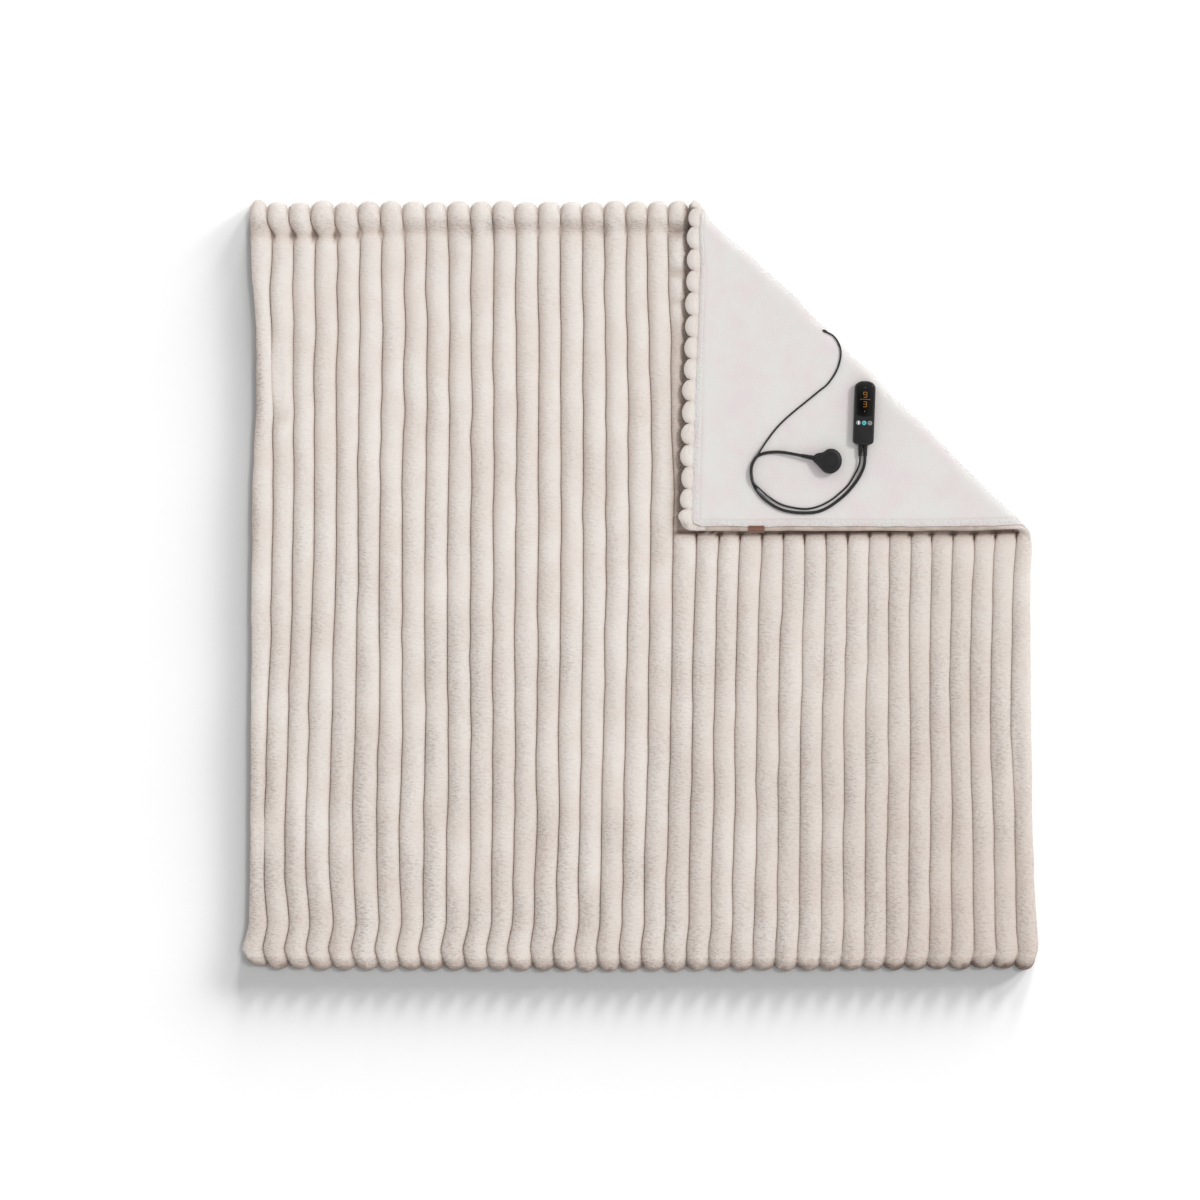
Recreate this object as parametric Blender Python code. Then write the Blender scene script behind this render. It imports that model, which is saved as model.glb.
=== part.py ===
"""Electric heated throw with one corner folded over.

The throw is a ribbed plush face and a smooth plush back, sewn together near their edges.
It lies flat with its ribs along Y.  The top right corner is folded over on a diagonal, so
the smooth back shows, and the handset, its two leads and the plug lie on that flap.

Metres, +Z up.  The origin is on the floor, under the middle of the throw.
"""
import math
import random

import bmesh
import bpy
import numpy as np
from mathutils import Matrix, Vector

GAP = 0.0003                     # left between pieces that touch

# ---- the two cloths -------------------------------------------------------------------
BACK_THICK = 0.0020              # smooth plush back
GROOVE_THICK = 0.0030            # face cloth at the bottom of a groove
CROWN_THICK = 0.0175             # face cloth at the top of a rib
RIM_LIFT = 0.0065                # height of the roll's outermost line above the seam
FACE_BASE = BACK_THICK + GAP     # underside of the face cloth

# Ribs from left to right: how many, and how wide each is.
RIBS = (
    # count, width
    (1, 0.0370),
    (20, 0.0436),
    (14, 0.0412),
    (1, 0.0340),
)
# One rib from groove to groove.
RIB_PROFILE = (
    # across, height
    (0.00, 0.00),
    (0.12, 0.66),
    (0.36, 0.98),
    (0.64, 0.98),
    (0.88, 0.66),
)
WAVER = 0.0034                   # how far a groove strays sideways
WAVER_LENGTHS = (0.71, 0.31)     # lengths of the two waves that make it stray
UNEVEN = 0.035                   # share by which a rib's height varies
SEED = 7

# ---- the outline of the face cloth, before it is folded --------------------------------
SIDES = (
    # y, left x, right x
    (-0.745, -0.7680, 0.7680),
    (-0.712, -0.7740, 0.7750),
    (-0.663, -0.7650, 0.7730),
    (-0.585, -0.7630, 0.7690),
    (-0.429, -0.7615, 0.7645),
    (-0.068, -0.7595, 0.7605),
    (0.195, -0.7575, 0.7570),
    (0.350, -0.7500, 0.7570),
    (0.507, -0.7500, 0.7570),
    (0.585, -0.7575, 0.7570),
    (0.745, -0.7605, 0.7570),
)
BOTTOM_EDGE = -0.7470
BOTTOM_SAG = 0.0040              # the bottom edge bows down in the middle
TOP_EDGE = 0.7488
CORNER_PULL = 0.0320             # the folded corner is drawn out past the top edge
CORNER_ROUND = 0.0120
SCALLOP = 0.0100                 # how far the grooves draw the two ribbed ends in

# Rows of points near the ends: distance in from the edge, and the ribs' height there.
TOP_ROWS = ((0.000, 0.36), (0.006, 0.80), (0.026, 1.03), (0.055, 0.80), (0.085, 1.00))
BOTTOM_ROWS = ((0.000, 0.36), (0.005, 0.76), (0.014, 0.98), (0.030, 0.86), (0.050, 1.00))
MIDDLE_ROWS = (-0.55, -0.37, -0.19, -0.03, 0.07, 0.105, 0.27, 0.43, 0.58)

END_SEAM = 0.0205                # seam's distance in from the ribbed ends
SIDE_SEAM = 0.0090               # and in from the plain sides
END_TUCK = 0.0045                # lowest line of the roll, in from a groove's end
SIDE_TUCK = 0.0055
TUCK_LIFT = 0.0006               # that line's height above the floor
BACK_INSET = 0.0010              # the back cloth's edge lies this far inside the seam

# ---- the fold ---------------------------------------------------------------------------
FOLD_HEIGHT = 0.0310             # floor to the back cloth on top of the flap
FOLD_START = Vector((0.1102, 0.7488))   # where the fold's outer edge meets the top edge
OUTWARD = Vector((1.0, 1.0)).normalized()
ALONG = Vector((1.0, -1.0)).normalized()
CURL_RADIUS = FOLD_HEIGHT / 2
NEUTRAL_RADIUS = CURL_RADIUS - FACE_BASE
CURL_LENGTH = math.pi * NEUTRAL_RADIUS
CURL_FACETS = 6
FOLD_FOOT = FOLD_START - OUTWARD * CURL_RADIUS
FLAP_CORNER = (0.0858, 0.1082)   # where the folded corner lies
PRESSED = 0.68                   # the pile's height where it is folded, and under the flap
PRESSED_MOST = 0.0122
PRESS_MARGIN = 0.006
PRESS_FADE = 0.034
# The fold's outer edge is not quite straight.
FOLD_WAVE = (
    # along, outward
    (-0.040, 0.0000),
    (0.010, 0.0000),
    (0.055, -0.0120),
    (0.098, -0.0100),
    (0.142, -0.0055),
    (0.200, -0.0030),
    (0.270, 0.0012),
    (0.318, -0.0028),
    (0.361, 0.0000),
    (0.420, -0.0036),
    (0.470, 0.0012),
    (0.540, -0.0028),
    (0.620, 0.0012),
    (0.740, -0.0012),
    (0.860, 0.0015),
    (0.960, 0.0040),
)
WAVE_REACH = 0.060               # the wave dies out this far in from the curl

# The hem that the back cloth forms along the flap's two free edges.
HEM = (
    # in from the cloth's edge, height
    (0.0000, 0.0000),
    (0.0080, 0.0022),
    (0.0165, -0.0004),
    (0.0215, 0.0000),
)
LABEL_WIDTH = 0.0310
LABEL_THICK = 0.0007
LABEL_X = 0.2250

# ---- the handset ------------------------------------------------------------------------
FLAP_TOP = FOLD_HEIGHT + GAP
HANDSET_CENTRE = (0.4339, 0.3336)
HANDSET_LEAN = math.radians(-2.1)
HANDSET_LENGTH = 0.1240
HANDSET_WIDTH = 0.0404
HANDSET_LEVELS = (
    # height, inset
    (0.0000, 0.0040),
    (0.0012, 0.0012),
    (0.0040, 0.0000),
    (0.0125, 0.0000),
    (0.0150, 0.0010),
    (0.0162, 0.0028),
)
HANDSET_TOP = HANDSET_LEVELS[-1][0]
HEAD_ROUND = (0.0160, 2.4)       # depth and squareness of the rounded head
FOOT_ROUND = (0.0110, 3.0)       # and of the foot
LENS_INSET = 0.0034
LENS_FOOT = -0.0080              # lowest point of the lens' curved border
LENS_CURVE = 0.0050
LENS_DEEP = 0.0012
LENS_PROUD = 0.0003
KEY_NAMES = ("left", "centre", "right")
KEY_PITCH = 0.0112
KEY_ROW = -0.0195
KEY_RADIUS = 0.0044
KEY_BELOW = 0.0013
KEY_PROUD = 0.0009
KEY_TRAVEL = 0.0007
KEY_WELL = KEY_BELOW + KEY_TRAVEL + GAP

# ---- leads and strain reliefs -------------------------------------------------------------
THIN_RADIUS = 0.00185
MAINS_RADIUS = 0.0031
RELIEF_LENGTH = 0.0210
RELIEF_SPREAD = 0.0048           # each relief's distance from the handset's middle line
RELIEF_AXIS = 0.0070             # height above the handset's underside
RELIEF_ROOT = 0.0040
PLUG_RELIEF_LENGTH = 0.0230
PLUG_RELIEF_ROOT = 0.0048
THIN_STEP = 0.0092               # spacing of the points along each lead
MAINS_STEP = 0.0150
LEAD_STRAIGHT = 0.0100           # how far a lead runs straight out of a strain relief

# The thin lead, from its outlet in the fold to the handset.
THIN_ROUTE = (
    # x, y, z
    (0.3617, 0.4920, 0.02966),
    (0.3748, 0.4848, 0.02640),
    (0.3848, 0.4710, 0.02860),
    (0.3892, 0.4540, 0.03260),
    (0.3867, 0.4333, 0.03315),
    (0.3791, 0.4132, 0.03315),
    (0.3633, 0.3904, 0.03315),
    (0.3461, 0.3762, 0.03315),
    (0.3233, 0.3575, 0.03315),
    (0.3003, 0.3389, 0.03315),
    (0.2775, 0.3188, 0.03320),
    (0.2603, 0.3003, 0.03360),
    (0.2432, 0.2773, 0.03560),
    (0.2285, 0.2545, 0.03970),
    (0.2180, 0.2360, 0.03990),
    (0.2137, 0.2188, 0.03990),
    (0.2172, 0.2016, 0.03990),
    (0.2295, 0.1880, 0.03870),
    (0.2488, 0.1716, 0.03440),
    (0.2718, 0.1572, 0.03315),
    (0.2976, 0.1501, 0.03315),
    (0.3233, 0.1480, 0.03315),
    (0.3461, 0.1529, 0.03315),
    (0.3691, 0.1644, 0.03315),
    (0.3890, 0.1802, 0.03320),
    (0.4035, 0.1944, 0.03360),
    (0.4158, 0.2140, 0.03480),
    (0.4228, 0.2285, 0.03680),
)
# The mains lead, from the handset to the plug.
MAINS_ROUTE = (
    # x, y, z
    (0.4325, 0.2270, 0.03760),
    (0.4258, 0.2120, 0.03620),
    (0.4164, 0.1973, 0.03490),
    (0.4006, 0.1786, 0.03440),
    (0.3805, 0.1615, 0.03440),
    (0.3604, 0.1486, 0.03440),
    (0.3405, 0.1416, 0.03440),
    (0.3175, 0.1400, 0.03440),
    (0.2946, 0.1416, 0.03440),
    (0.2718, 0.1472, 0.03440),
    (0.2488, 0.1601, 0.03440),
    (0.2317, 0.1759, 0.03440),
    (0.2199, 0.1944, 0.03440),
    (0.2150, 0.2150, 0.03440),
    (0.2164, 0.2330, 0.03440),
    (0.2256, 0.2488, 0.03440),
    (0.2402, 0.2558, 0.03440),
    (0.2603, 0.2582, 0.03520),
    (0.2790, 0.2572, 0.03780),
)
OUTLET_RADIUS = 0.0026
OUTLET_LENGTH = 0.0080

# ---- the plug, lying on its face ------------------------------------------------------------
PLUG_CENTRE = (0.3682, 0.2402)
PLUG_TURN = math.radians(-11.0)
PLUG_HALF_LENGTH = 0.0220
PLUG_HALF_WIDTH = 0.0244
PLUG_HEIGHT = 0.0220
PLUG_AXIS = 0.0088
PLUG_NECK_END = -0.0335
PLUG_NECK_LOW = 0.58             # the neck's height, as a share of the head's
UPPER_NECK = ((-0.0131, 0.0183), (-0.0181, 0.0138), (-0.0250, 0.0118), (-0.0300, 0.0090),
              (PLUG_NECK_END, 0.0056))
LOWER_NECK = ((PLUG_NECK_END, -0.0056), (-0.0270, -0.0092), (-0.0180, -0.0156))
PLUG_LEVELS = (
    # height, drawn in towards the middle line
    (0.00, 0.14),
    (0.08, 0.03),
    (0.24, 0.00),
    (0.70, 0.00),
    (0.88, 0.08),
    (0.97, 0.24),
    (1.00, 0.48),
)


def clear_scene():
    for item in list(bpy.data.objects):
        bpy.data.objects.remove(item, do_unlink=True)


def material(name, colour, roughness, metallic=0.0):
    made = bpy.data.materials.new(name)
    made.use_nodes = True
    shader = made.node_tree.nodes["Principled BSDF"]
    shader.inputs["Base Color"].default_value = (*colour, 1.0)
    shader.inputs["Roughness"].default_value = roughness
    shader.inputs["Metallic"].default_value = metallic
    return made


def add_object(name, bm, finish, smooth_angle=35.0):
    """Turn a bmesh into a closed, smooth-shaded object."""
    bmesh.ops.recalc_face_normals(bm, faces=bm.faces[:])
    mesh = bpy.data.meshes.new(name)
    bm.to_mesh(mesh)
    bm.free()
    mesh.shade_smooth()
    mesh.set_sharp_from_angle(angle=math.radians(smooth_angle))
    mesh.materials.append(finish)
    made = bpy.data.objects.new(name, mesh)
    bpy.context.collection.objects.link(made)
    return made


def between(low, high, value):
    """0 at low, 1 at high, and smooth between them."""
    share = min(max((value - low) / (high - low), 0.0), 1.0)
    return share * share * (3.0 - 2.0 * share)


def lookup(table, value, column=1):
    """Read one column of a table whose first column rises."""
    keys = [row[0] for row in table]
    return float(np.interp(value, keys, [row[column] for row in table]))


# ---- the flat cloth -------------------------------------------------------------------------

def groove_shares():
    """Each groove's place across the throw, from 0 at the left edge to 1 at the right."""
    widths = [width for count, width in RIBS for _ in range(count)]
    return np.concatenate(([0.0], np.cumsum(widths) / sum(widths)))


GROOVES = groove_shares()
RIB_COUNT = len(GROOVES) - 1
chance = random.Random(SEED)
WAVER_PHASES = [(0.55 * k + chance.uniform(-0.9, 0.9), chance.uniform(0, math.tau))
                for k in range(RIB_COUNT + 1)]
HEIGHT_PHASES = [chance.uniform(0, math.tau) for _ in range(RIB_COUNT)]


def top_edge(share):
    """The top edge is level as far as the fold, then drawn out towards the corner."""
    x = lookup(SIDES, TOP_EDGE, 1) * (1 - share) + lookup(SIDES, TOP_EDGE, 2) * share
    pulled = (x - FOLD_START.x) / (SIDES[-1][2] - FOLD_START.x)
    return TOP_EDGE + CORNER_PULL * max(pulled, 0.0)


def bottom_edge(share):
    return BOTTOM_EDGE - BOTTOM_SAG * math.sin(math.pi * share)


def groove_stray(groove, y):
    if groove in (0, RIB_COUNT):
        return 0.0
    first, second = WAVER_PHASES[groove]
    long_wave = math.sin(math.tau * y / WAVER_LENGTHS[0] + first)
    short_wave = math.sin(math.tau * y / WAVER_LENGTHS[1] + second)
    return WAVER * (0.65 * long_wave + 0.35 * short_wave)


def columns():
    """Every line of points along the ribs: rib, place in the rib, height share."""
    lines = [(rib, part, height) for rib in range(RIB_COUNT) for part, height in RIB_PROFILE]
    lines.append((RIB_COUNT - 1, 1.0, 0.0))
    return lines


def rows(share):
    """Every line of points across the ribs at one place: y, height share, in from an end."""
    low = bottom_edge(share)
    high = top_edge(share)
    below = [(low + step, height, step) for step, height in BOTTOM_ROWS]
    middle = [(y, 1.0, None) for y in MIDDLE_ROWS]
    above = [(high - step, height, step) for step, height in reversed(TOP_ROWS)]
    return below + middle + above


def cloth_x(share, y):
    left = lookup(SIDES, y, 1)
    right = lookup(SIDES, y, 2)
    return left + share * (right - left)


def end_scallop(part, step):
    """How far a ribbed end is drawn in: most at the grooves, nothing at the crowns."""
    if step is None or step > 0.04:
        return 0.0
    bulge = math.sqrt(max(math.sin(math.pi * part), 0.0))
    return SCALLOP * (1.0 - bulge) * (1.0 - step / 0.04)


def side_round(step):
    """How far the sides are drawn in at the corners."""
    if step is None or step > CORNER_ROUND:
        return 0.0
    across = CORNER_ROUND - step
    return CORNER_ROUND - math.sqrt(CORNER_ROUND ** 2 - across ** 2)


def face_point(line, row_number):
    """One point of the ribbed side, on the flat throw."""
    rib, part, profile = line
    share = GROOVES[rib] + part * (GROOVES[rib + 1] - GROOVES[rib])
    y, height, step = rows(share)[row_number]
    outer_left = rib == 0 and part == 0.0
    outer_right = rib == RIB_COUNT - 1 and part == 1.0
    stray = groove_stray(rib, y) * (1 - part) + groove_stray(rib + 1, y) * part
    x = cloth_x(share, y) + stray
    side = side_round(step) * (1 - between(0.0, 0.03, min(share, 1 - share)))
    x += side if share < 0.5 else -side
    inward = 1 if y < 0 else -1
    y += inward * end_scallop(part, step)
    swell = 1.0 + UNEVEN * math.sin(math.tau * y / 0.43 + HEIGHT_PHASES[rib])
    if outer_left or outer_right:
        z = RIM_LIFT * (0.9 if step == 0.0 else 1.0)
    elif step == 0.0:
        z = 0.0020 + (RIM_LIFT - 0.0020) * profile
    else:
        crown = CROWN_THICK * swell * height
        z = GROOVE_THICK + (crown - GROOVE_THICK) * profile
    return Vector((x, y, FACE_BASE + z))


def seam_ring(bm, stations, ends_in, sides_in, z):
    """A ring of points inside the outline, one for each station."""
    ring = []
    for vertex, end, side in stations:
        x = vertex.co.x - side * sides_in
        y = vertex.co.y - end * ends_in
        ring.append(bm.verts.new((x, y, z)))
    return ring


def build_face(finish):
    """The ribbed plush, made flat and then folded with its ribs inside the fold."""
    bm = bmesh.new()
    lines = columns()
    row_count = len(rows(0.5))
    grid = [[bm.verts.new(face_point(line, row)) for line in lines] for row in range(row_count)]
    last = len(lines) - 1
    for row in range(row_count - 1):
        for column in range(last):
            bm.faces.new((grid[row][column], grid[row][column + 1],
                          grid[row + 1][column + 1], grid[row + 1][column]))

    # Stations round the outline: (vertex, which end, which side); the seam follows them.
    per_rib = len(RIB_PROFILE)
    inner_rows = range(3, row_count - 2)
    outline = [grid[0][column] for column in range(last + 1)]
    outline += [grid[row][last] for row in range(1, row_count - 1)]
    outline += [grid[-1][column] for column in range(last, -1, -1)]
    outline += [grid[row][0] for row in range(row_count - 2, 0, -1)]
    marks = {}
    for column in range(0, last + 1, per_rib):
        side = {0: -1, last: 1}.get(column, 0)
        marks[grid[0][column]] = (-1, side)
        marks[grid[-1][column]] = (1, side)
    for row in inner_rows:
        marks[grid[row][0]] = (0, -1)
        marks[grid[row][last]] = (0, 1)
    stations = [(vertex, *marks[vertex]) for vertex in outline if vertex in marks]
    tuck = seam_ring(bm, stations, END_TUCK, SIDE_TUCK, TUCK_LIFT)
    seam = seam_ring(bm, stations, END_SEAM - SCALLOP, SIDE_SEAM, FACE_BASE)
    places = [outline.index(vertex) for vertex, _, _ in stations]
    for number, place in enumerate(places):
        after = (number + 1) % len(places)
        reach = places[after] if after else len(outline)
        edge = [outline[step % len(outline)] for step in range(place, reach + 1)]
        bm.faces.new(edge + [tuck[after], tuck[number]])
        bm.faces.new((tuck[number], tuck[after], seam[after], seam[number]))
    bm.faces.new(seam)

    curl_cuts(bm)
    flat = [face for face in bm.faces if all(abs(v.co.z - FACE_BASE) < 1e-6 for v in face.verts)]
    wave_cuts(bm, flat)
    bmesh.ops.triangulate(bm, faces=bm.faces[:])
    for vertex in bm.verts:
        press_pile(vertex.co)
        vertex.co = folded(vertex.co)
    return add_object("face_panel", bm, finish, 60.0)


def build_back(finish):
    """The smooth plush, whose outer side is the floor side and the top of the flap."""
    bm = bmesh.new()
    end_in = END_SEAM + BACK_INSET
    side_in = SIDE_SEAM + BACK_INSET
    drawn = []
    corners = {0: 1, RIB_COUNT: -1}
    for edge, order, side in ((bottom_edge, 1, 1.0), (top_edge, -1, 0.0)):
        for groove in range(RIB_COUNT + 1)[::order]:
            share = GROOVES[groove]
            y = edge(share) + order * end_in
            corner = corners.get(groove, 0)
            drawn.append((cloth_x(share, y) + corner * (CORNER_ROUND + side_in), y))
        inward = side_in if side == 0.0 else -side_in
        heights = [y - math.copysign(end_scallop(0.0, step), y) for y, _, step in rows(side)[3:-2]]
        drawn += [(cloth_x(side, y) + inward, y) for y in heights[::order]]
    lower = [bm.verts.new((x, y, 0.0)) for x, y in drawn]
    upper = [bm.verts.new((x, y, BACK_THICK)) for x, y in drawn]
    bm.faces.new(lower)
    bm.faces.new(upper)
    for number in range(len(lower)):
        after = (number + 1) % len(lower)
        bm.faces.new((lower[number], lower[after], upper[after], upper[number]))

    curl_cuts(bm)
    wave_cuts(bm, bm.faces[:])
    hem_cuts(bm)
    bmesh.ops.triangulate(bm, faces=bm.faces[:])
    for vertex in bm.verts:
        if vertex.co.z < BACK_THICK / 2:
            vertex.co.z -= hem_height(vertex.co)
        vertex.co = folded(vertex.co)
    return add_object("back_panel", bm, finish, 40.0)


# ---- the fold -------------------------------------------------------------------------------

def past_fold(point):
    """Distance past the line where the curl begins, and distance along the fold."""
    flat = Vector((point.x, point.y)) - FOLD_FOOT
    return flat.dot(OUTWARD), flat.dot(ALONG)


def cut(bm, faces, place, normal):
    """Cut some faces along an upright plane."""
    edges = {edge for face in faces for edge in face.edges}
    vertices = {vertex for face in faces for vertex in face.verts}
    bmesh.ops.bisect_plane(bm, geom=[*vertices, *edges, *faces], dist=1e-6,
                           plane_co=(*place, 0.0), plane_no=(*normal, 0.0))


def curl_cuts(bm):
    """Creases along the fold: one for each facet of the curl, and one at each wave's end."""
    steps = [CURL_LENGTH * facet / CURL_FACETS for facet in range(CURL_FACETS + 1)]
    for step in steps:
        cut(bm, bm.faces[:], FOLD_FOOT + OUTWARD * step, OUTWARD)
    for step in (-WAVE_REACH, CURL_LENGTH + WAVE_REACH):
        flat = [face for face in bm.faces if len(face.verts) > 4]
        cut(bm, flat, FOLD_FOOT + OUTWARD * step, OUTWARD)


def wave_cuts(bm, faces):
    """Cuts across the fold at every step of its wave."""
    for along, _ in FOLD_WAVE:
        near = []
        for face in faces:
            if not face.is_valid:
                continue
            past, _ = past_fold(face.calc_center_median())
            if -WAVE_REACH < past < CURL_LENGTH + WAVE_REACH:
                near.append(face)
        known = set(bm.faces)
        cut(bm, near, FOLD_FOOT + ALONG * along, ALONG)
        faces = faces + [face for face in bm.faces if face not in known]


def press_pile(point):
    """Flatten the pile inside the fold and under the flap."""
    past, _ = past_fold(point)
    beside = math.hypot(max(FLAP_CORNER[0] - point.x, 0.0), max(FLAP_CORNER[1] - point.y, 0.0))
    open_share = between(PRESS_MARGIN, PRESS_MARGIN + PRESS_FADE, beside) if past < 0 else 0.0
    rise = point.z - FACE_BASE
    if rise <= 0.0:
        return
    pressed = min(rise * PRESSED, PRESSED_MOST)
    if rise < GROOVE_THICK * 1.01:
        pressed = rise
    point.z = FACE_BASE + pressed + (rise - pressed) * open_share


def folded(point):
    """Carry a point of the flat throw to its place: flat, round the curl, or on the flap."""
    past, along = past_fold(point)
    if past <= 0.0:
        out, height = past, point.z
    elif past < CURL_LENGTH:
        angle = past / NEUTRAL_RADIUS
        out = (CURL_RADIUS - point.z) * math.sin(angle)
        height = CURL_RADIUS - (CURL_RADIUS - point.z) * math.cos(angle)
    else:
        out, height = CURL_LENGTH - past, FOLD_HEIGHT - point.z
    out += lookup(FOLD_WAVE, along) * min(max(1.0 + out / WAVE_REACH, 0.0), 1.0)
    place = FOLD_FOOT + OUTWARD * out + ALONG * along
    return Vector((place.x, place.y, height))


def hem_lines():
    """The back cloth's two free edges on the flap: a point on each, and its way inwards."""
    right = cloth_x(1.0, 0.5) - SIDE_SEAM - BACK_INSET
    slope = CORNER_PULL / (SIDES[-1][2] - FOLD_START.x)
    top = TOP_EDGE - END_SEAM - BACK_INSET
    return ((Vector((right, 0.0)), Vector((-1.0, 0.0))),
            (Vector((FOLD_START.x, top)), Vector((slope, -1.0)).normalized()))


def hem_distance(point):
    flat = Vector((point.x, point.y))
    return min((flat - place).dot(inward) for place, inward in hem_lines())


def hem_height(point):
    past, _ = past_fold(point)
    fade = min(max((past - CURL_LENGTH) / WAVE_REACH, 0.0), 1.0)
    return lookup(HEM, hem_distance(point)) * fade


def hem_cuts(bm):
    for place, inward in hem_lines():
        for step, _ in HEM[1:]:
            flap = []
            for face in bm.faces:
                past, _ = past_fold(face.calc_center_median())
                outer = all(vertex.co.z < 1e-6 for vertex in face.verts)
                if outer and past > CURL_LENGTH:
                    flap.append(face)
            cut(bm, flap, place + inward * step, inward)


# ---- hard pieces ------------------------------------------------------------------------------

def ring_solid(bm, rings):
    """Join rings of points, each as long as the last, into one capped solid."""
    made = [[bm.verts.new(point) for point in ring] for ring in rings]
    for low, high in zip(made, made[1:]):
        for number in range(len(low)):
            after = (number + 1) % len(low)
            bm.faces.new((low[number], low[after], high[after], high[number]))
    bm.faces.new(made[0])
    bm.faces.new(made[-1])


def handset_outline(inset, foot=None, sides=12):
    """Plan of the handset: a rounded head, and its own foot or a lens' curved border."""
    half = HANDSET_WIDTH / 2 - inset
    points = []
    depth, square = HEAD_ROUND
    for step in range(sides + 1):
        angle = math.pi * step / sides
        x = half * math.copysign(abs(math.cos(angle)) ** (2 / square), math.cos(angle))
        rise = (depth - inset * 0.6) * abs(math.sin(angle)) ** (2 / square)
        points.append((x, HANDSET_LENGTH / 2 - depth - inset * 0.4 + rise))
    if foot is not None:
        for step in range(1, sides):
            x = -half + 2 * half * step / sides
            points.append((x, foot + LENS_CURVE * (x / half) ** 2))
        return points
    depth, square = FOOT_ROUND
    for step in range(sides + 1):
        angle = math.pi + math.pi * step / sides
        x = half * math.copysign(abs(math.cos(angle)) ** (2 / square), math.cos(angle))
        drop = (depth - inset * 0.6) * abs(math.sin(angle)) ** (2 / square)
        points.append((x, depth + inset * 0.4 - HANDSET_LENGTH / 2 - drop))
    return points


def handset_frame():
    return Matrix.Translation((*HANDSET_CENTRE, FLAP_TOP)) @ Matrix.Rotation(HANDSET_LEAN, 4, "Z")


def cutter(name, bm):
    """A solid that only cuts: it is hidden from the render."""
    made = add_object(name, bm, material(name, (0.8, 0.1, 0.1), 0.5))
    made.hide_render = True
    made.display_type = "WIRE"
    return made


def subtract(piece, tool):
    modifier = piece.modifiers.new("cut", "BOOLEAN")
    modifier.operation = "DIFFERENCE"
    modifier.object = tool


def disc(bm, centre, radius, low, high, bevel=0.0, sides=24):
    """A short upright cylinder with a bevelled upper rim."""
    levels = [(low, radius), (high - bevel, radius)]
    if bevel:
        levels.append((high, radius - bevel))
    rings = []
    for z, size in levels:
        turn = [math.tau * step / sides for step in range(sides)]
        rings.append([(centre[0] + size * math.cos(a), centre[1] + size * math.sin(a), z)
                      for a in turn])
    ring_solid(bm, rings)


def build_handset(shell, glass, key):
    """Moulded body with a lens let into its head and three keys in their wells."""
    frame = handset_frame()
    bm = bmesh.new()
    ring_solid(bm, [[(x, y, z) for x, y in handset_outline(inset)] for z, inset in HANDSET_LEVELS])
    body = add_object("handset_body", bm, shell, 30.0)
    body.matrix_world = frame

    bm = bmesh.new()
    pocket = handset_outline(LENS_INSET - GAP, LENS_FOOT - GAP)
    ring_solid(bm, [[(x, y, z) for x, y in pocket] for z in (HANDSET_TOP - LENS_DEEP - GAP, 0.03)])
    tool = cutter("lens_pocket", bm)
    tool.matrix_world = frame
    subtract(body, tool)

    bm = bmesh.new()
    levels = ((HANDSET_TOP - LENS_DEEP, 0.0), (HANDSET_TOP, 0.0),
              (HANDSET_TOP + LENS_PROUD, 0.0005))
    ring_solid(bm, [[(x, y, z) for x, y in handset_outline(LENS_INSET + bevel, LENS_FOOT + bevel)]
                    for z, bevel in levels])
    add_object("handset_lens", bm, glass).matrix_world = frame

    for place, name in enumerate(KEY_NAMES):
        centre = ((place - 1) * KEY_PITCH, KEY_ROW)
        bm = bmesh.new()
        disc(bm, centre, KEY_RADIUS + GAP, HANDSET_TOP - KEY_WELL, 0.03)
        tool = cutter("well_" + name, bm)
        tool.matrix_world = frame
        subtract(body, tool)
        bm = bmesh.new()
        disc(bm, centre, KEY_RADIUS, HANDSET_TOP - KEY_BELOW, HANDSET_TOP + KEY_PROUD, 0.0004)
        add_object("key_" + name, bm, key).matrix_world = frame


def turned(name, profile, start, direction, finish, sides=12):
    """A round piece along a line: the profile is (distance from the start, radius)."""
    turn = Vector(direction).normalized().to_track_quat("Z", "Y").to_matrix().to_4x4()
    frame = Matrix.Translation(start) @ turn
    rings = []
    for along, radius in profile:
        angles = [math.tau * step / sides for step in range(sides)]
        rings.append([(radius * math.cos(a), radius * math.sin(a), along) for a in angles])
    bm = bmesh.new()
    ring_solid(bm, rings)
    made = add_object(name, bm, finish)
    made.matrix_world = frame
    return made


def relief_profile(length, root, tip, ribs=4):
    """A strain relief: a plain collar, then ribs that grow smaller towards the lead."""
    collar = length * 0.22
    profile = [(0.0, root * 0.94), (collar * 0.25, root), (collar, root)]
    pitch = (length - collar) / ribs
    for rib in range(ribs):
        at = collar + rib * pitch
        big = root + (tip - root) * (rib + 0.5) / ribs
        profile += [(at + pitch * 0.12, big - 0.0006), (at + pitch * 0.42, big - 0.0006),
                    (at + pitch * 0.55, big), (at + pitch * 0.98, big)]
    return profile


def build_reliefs(finish):
    """Two strain reliefs side by side at the handset's foot."""
    frame = handset_frame()
    down = frame.to_3x3() @ Vector((0.0, -1.0, 0.0))
    foot = -HANDSET_LENGTH / 2 - GAP
    for name, side, radius in (("relief_thin", -1, THIN_RADIUS), ("relief_mains", 1, MAINS_RADIUS)):
        start = frame @ Vector((side * RELIEF_SPREAD, foot, RELIEF_AXIS))
        profile = relief_profile(RELIEF_LENGTH, RELIEF_ROOT, radius + 0.0009)
        turned(name, profile, start, down, finish)


def relief_end(side):
    """A lead's first two points: just clear of its strain relief, and straight on."""
    foot = -HANDSET_LENGTH / 2 - GAP - RELIEF_LENGTH - GAP
    return tuple(tuple(handset_frame() @ Vector((side * RELIEF_SPREAD, foot - step, RELIEF_AXIS)))
                 for step in (0.0, LEAD_STRAIGHT))


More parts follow.
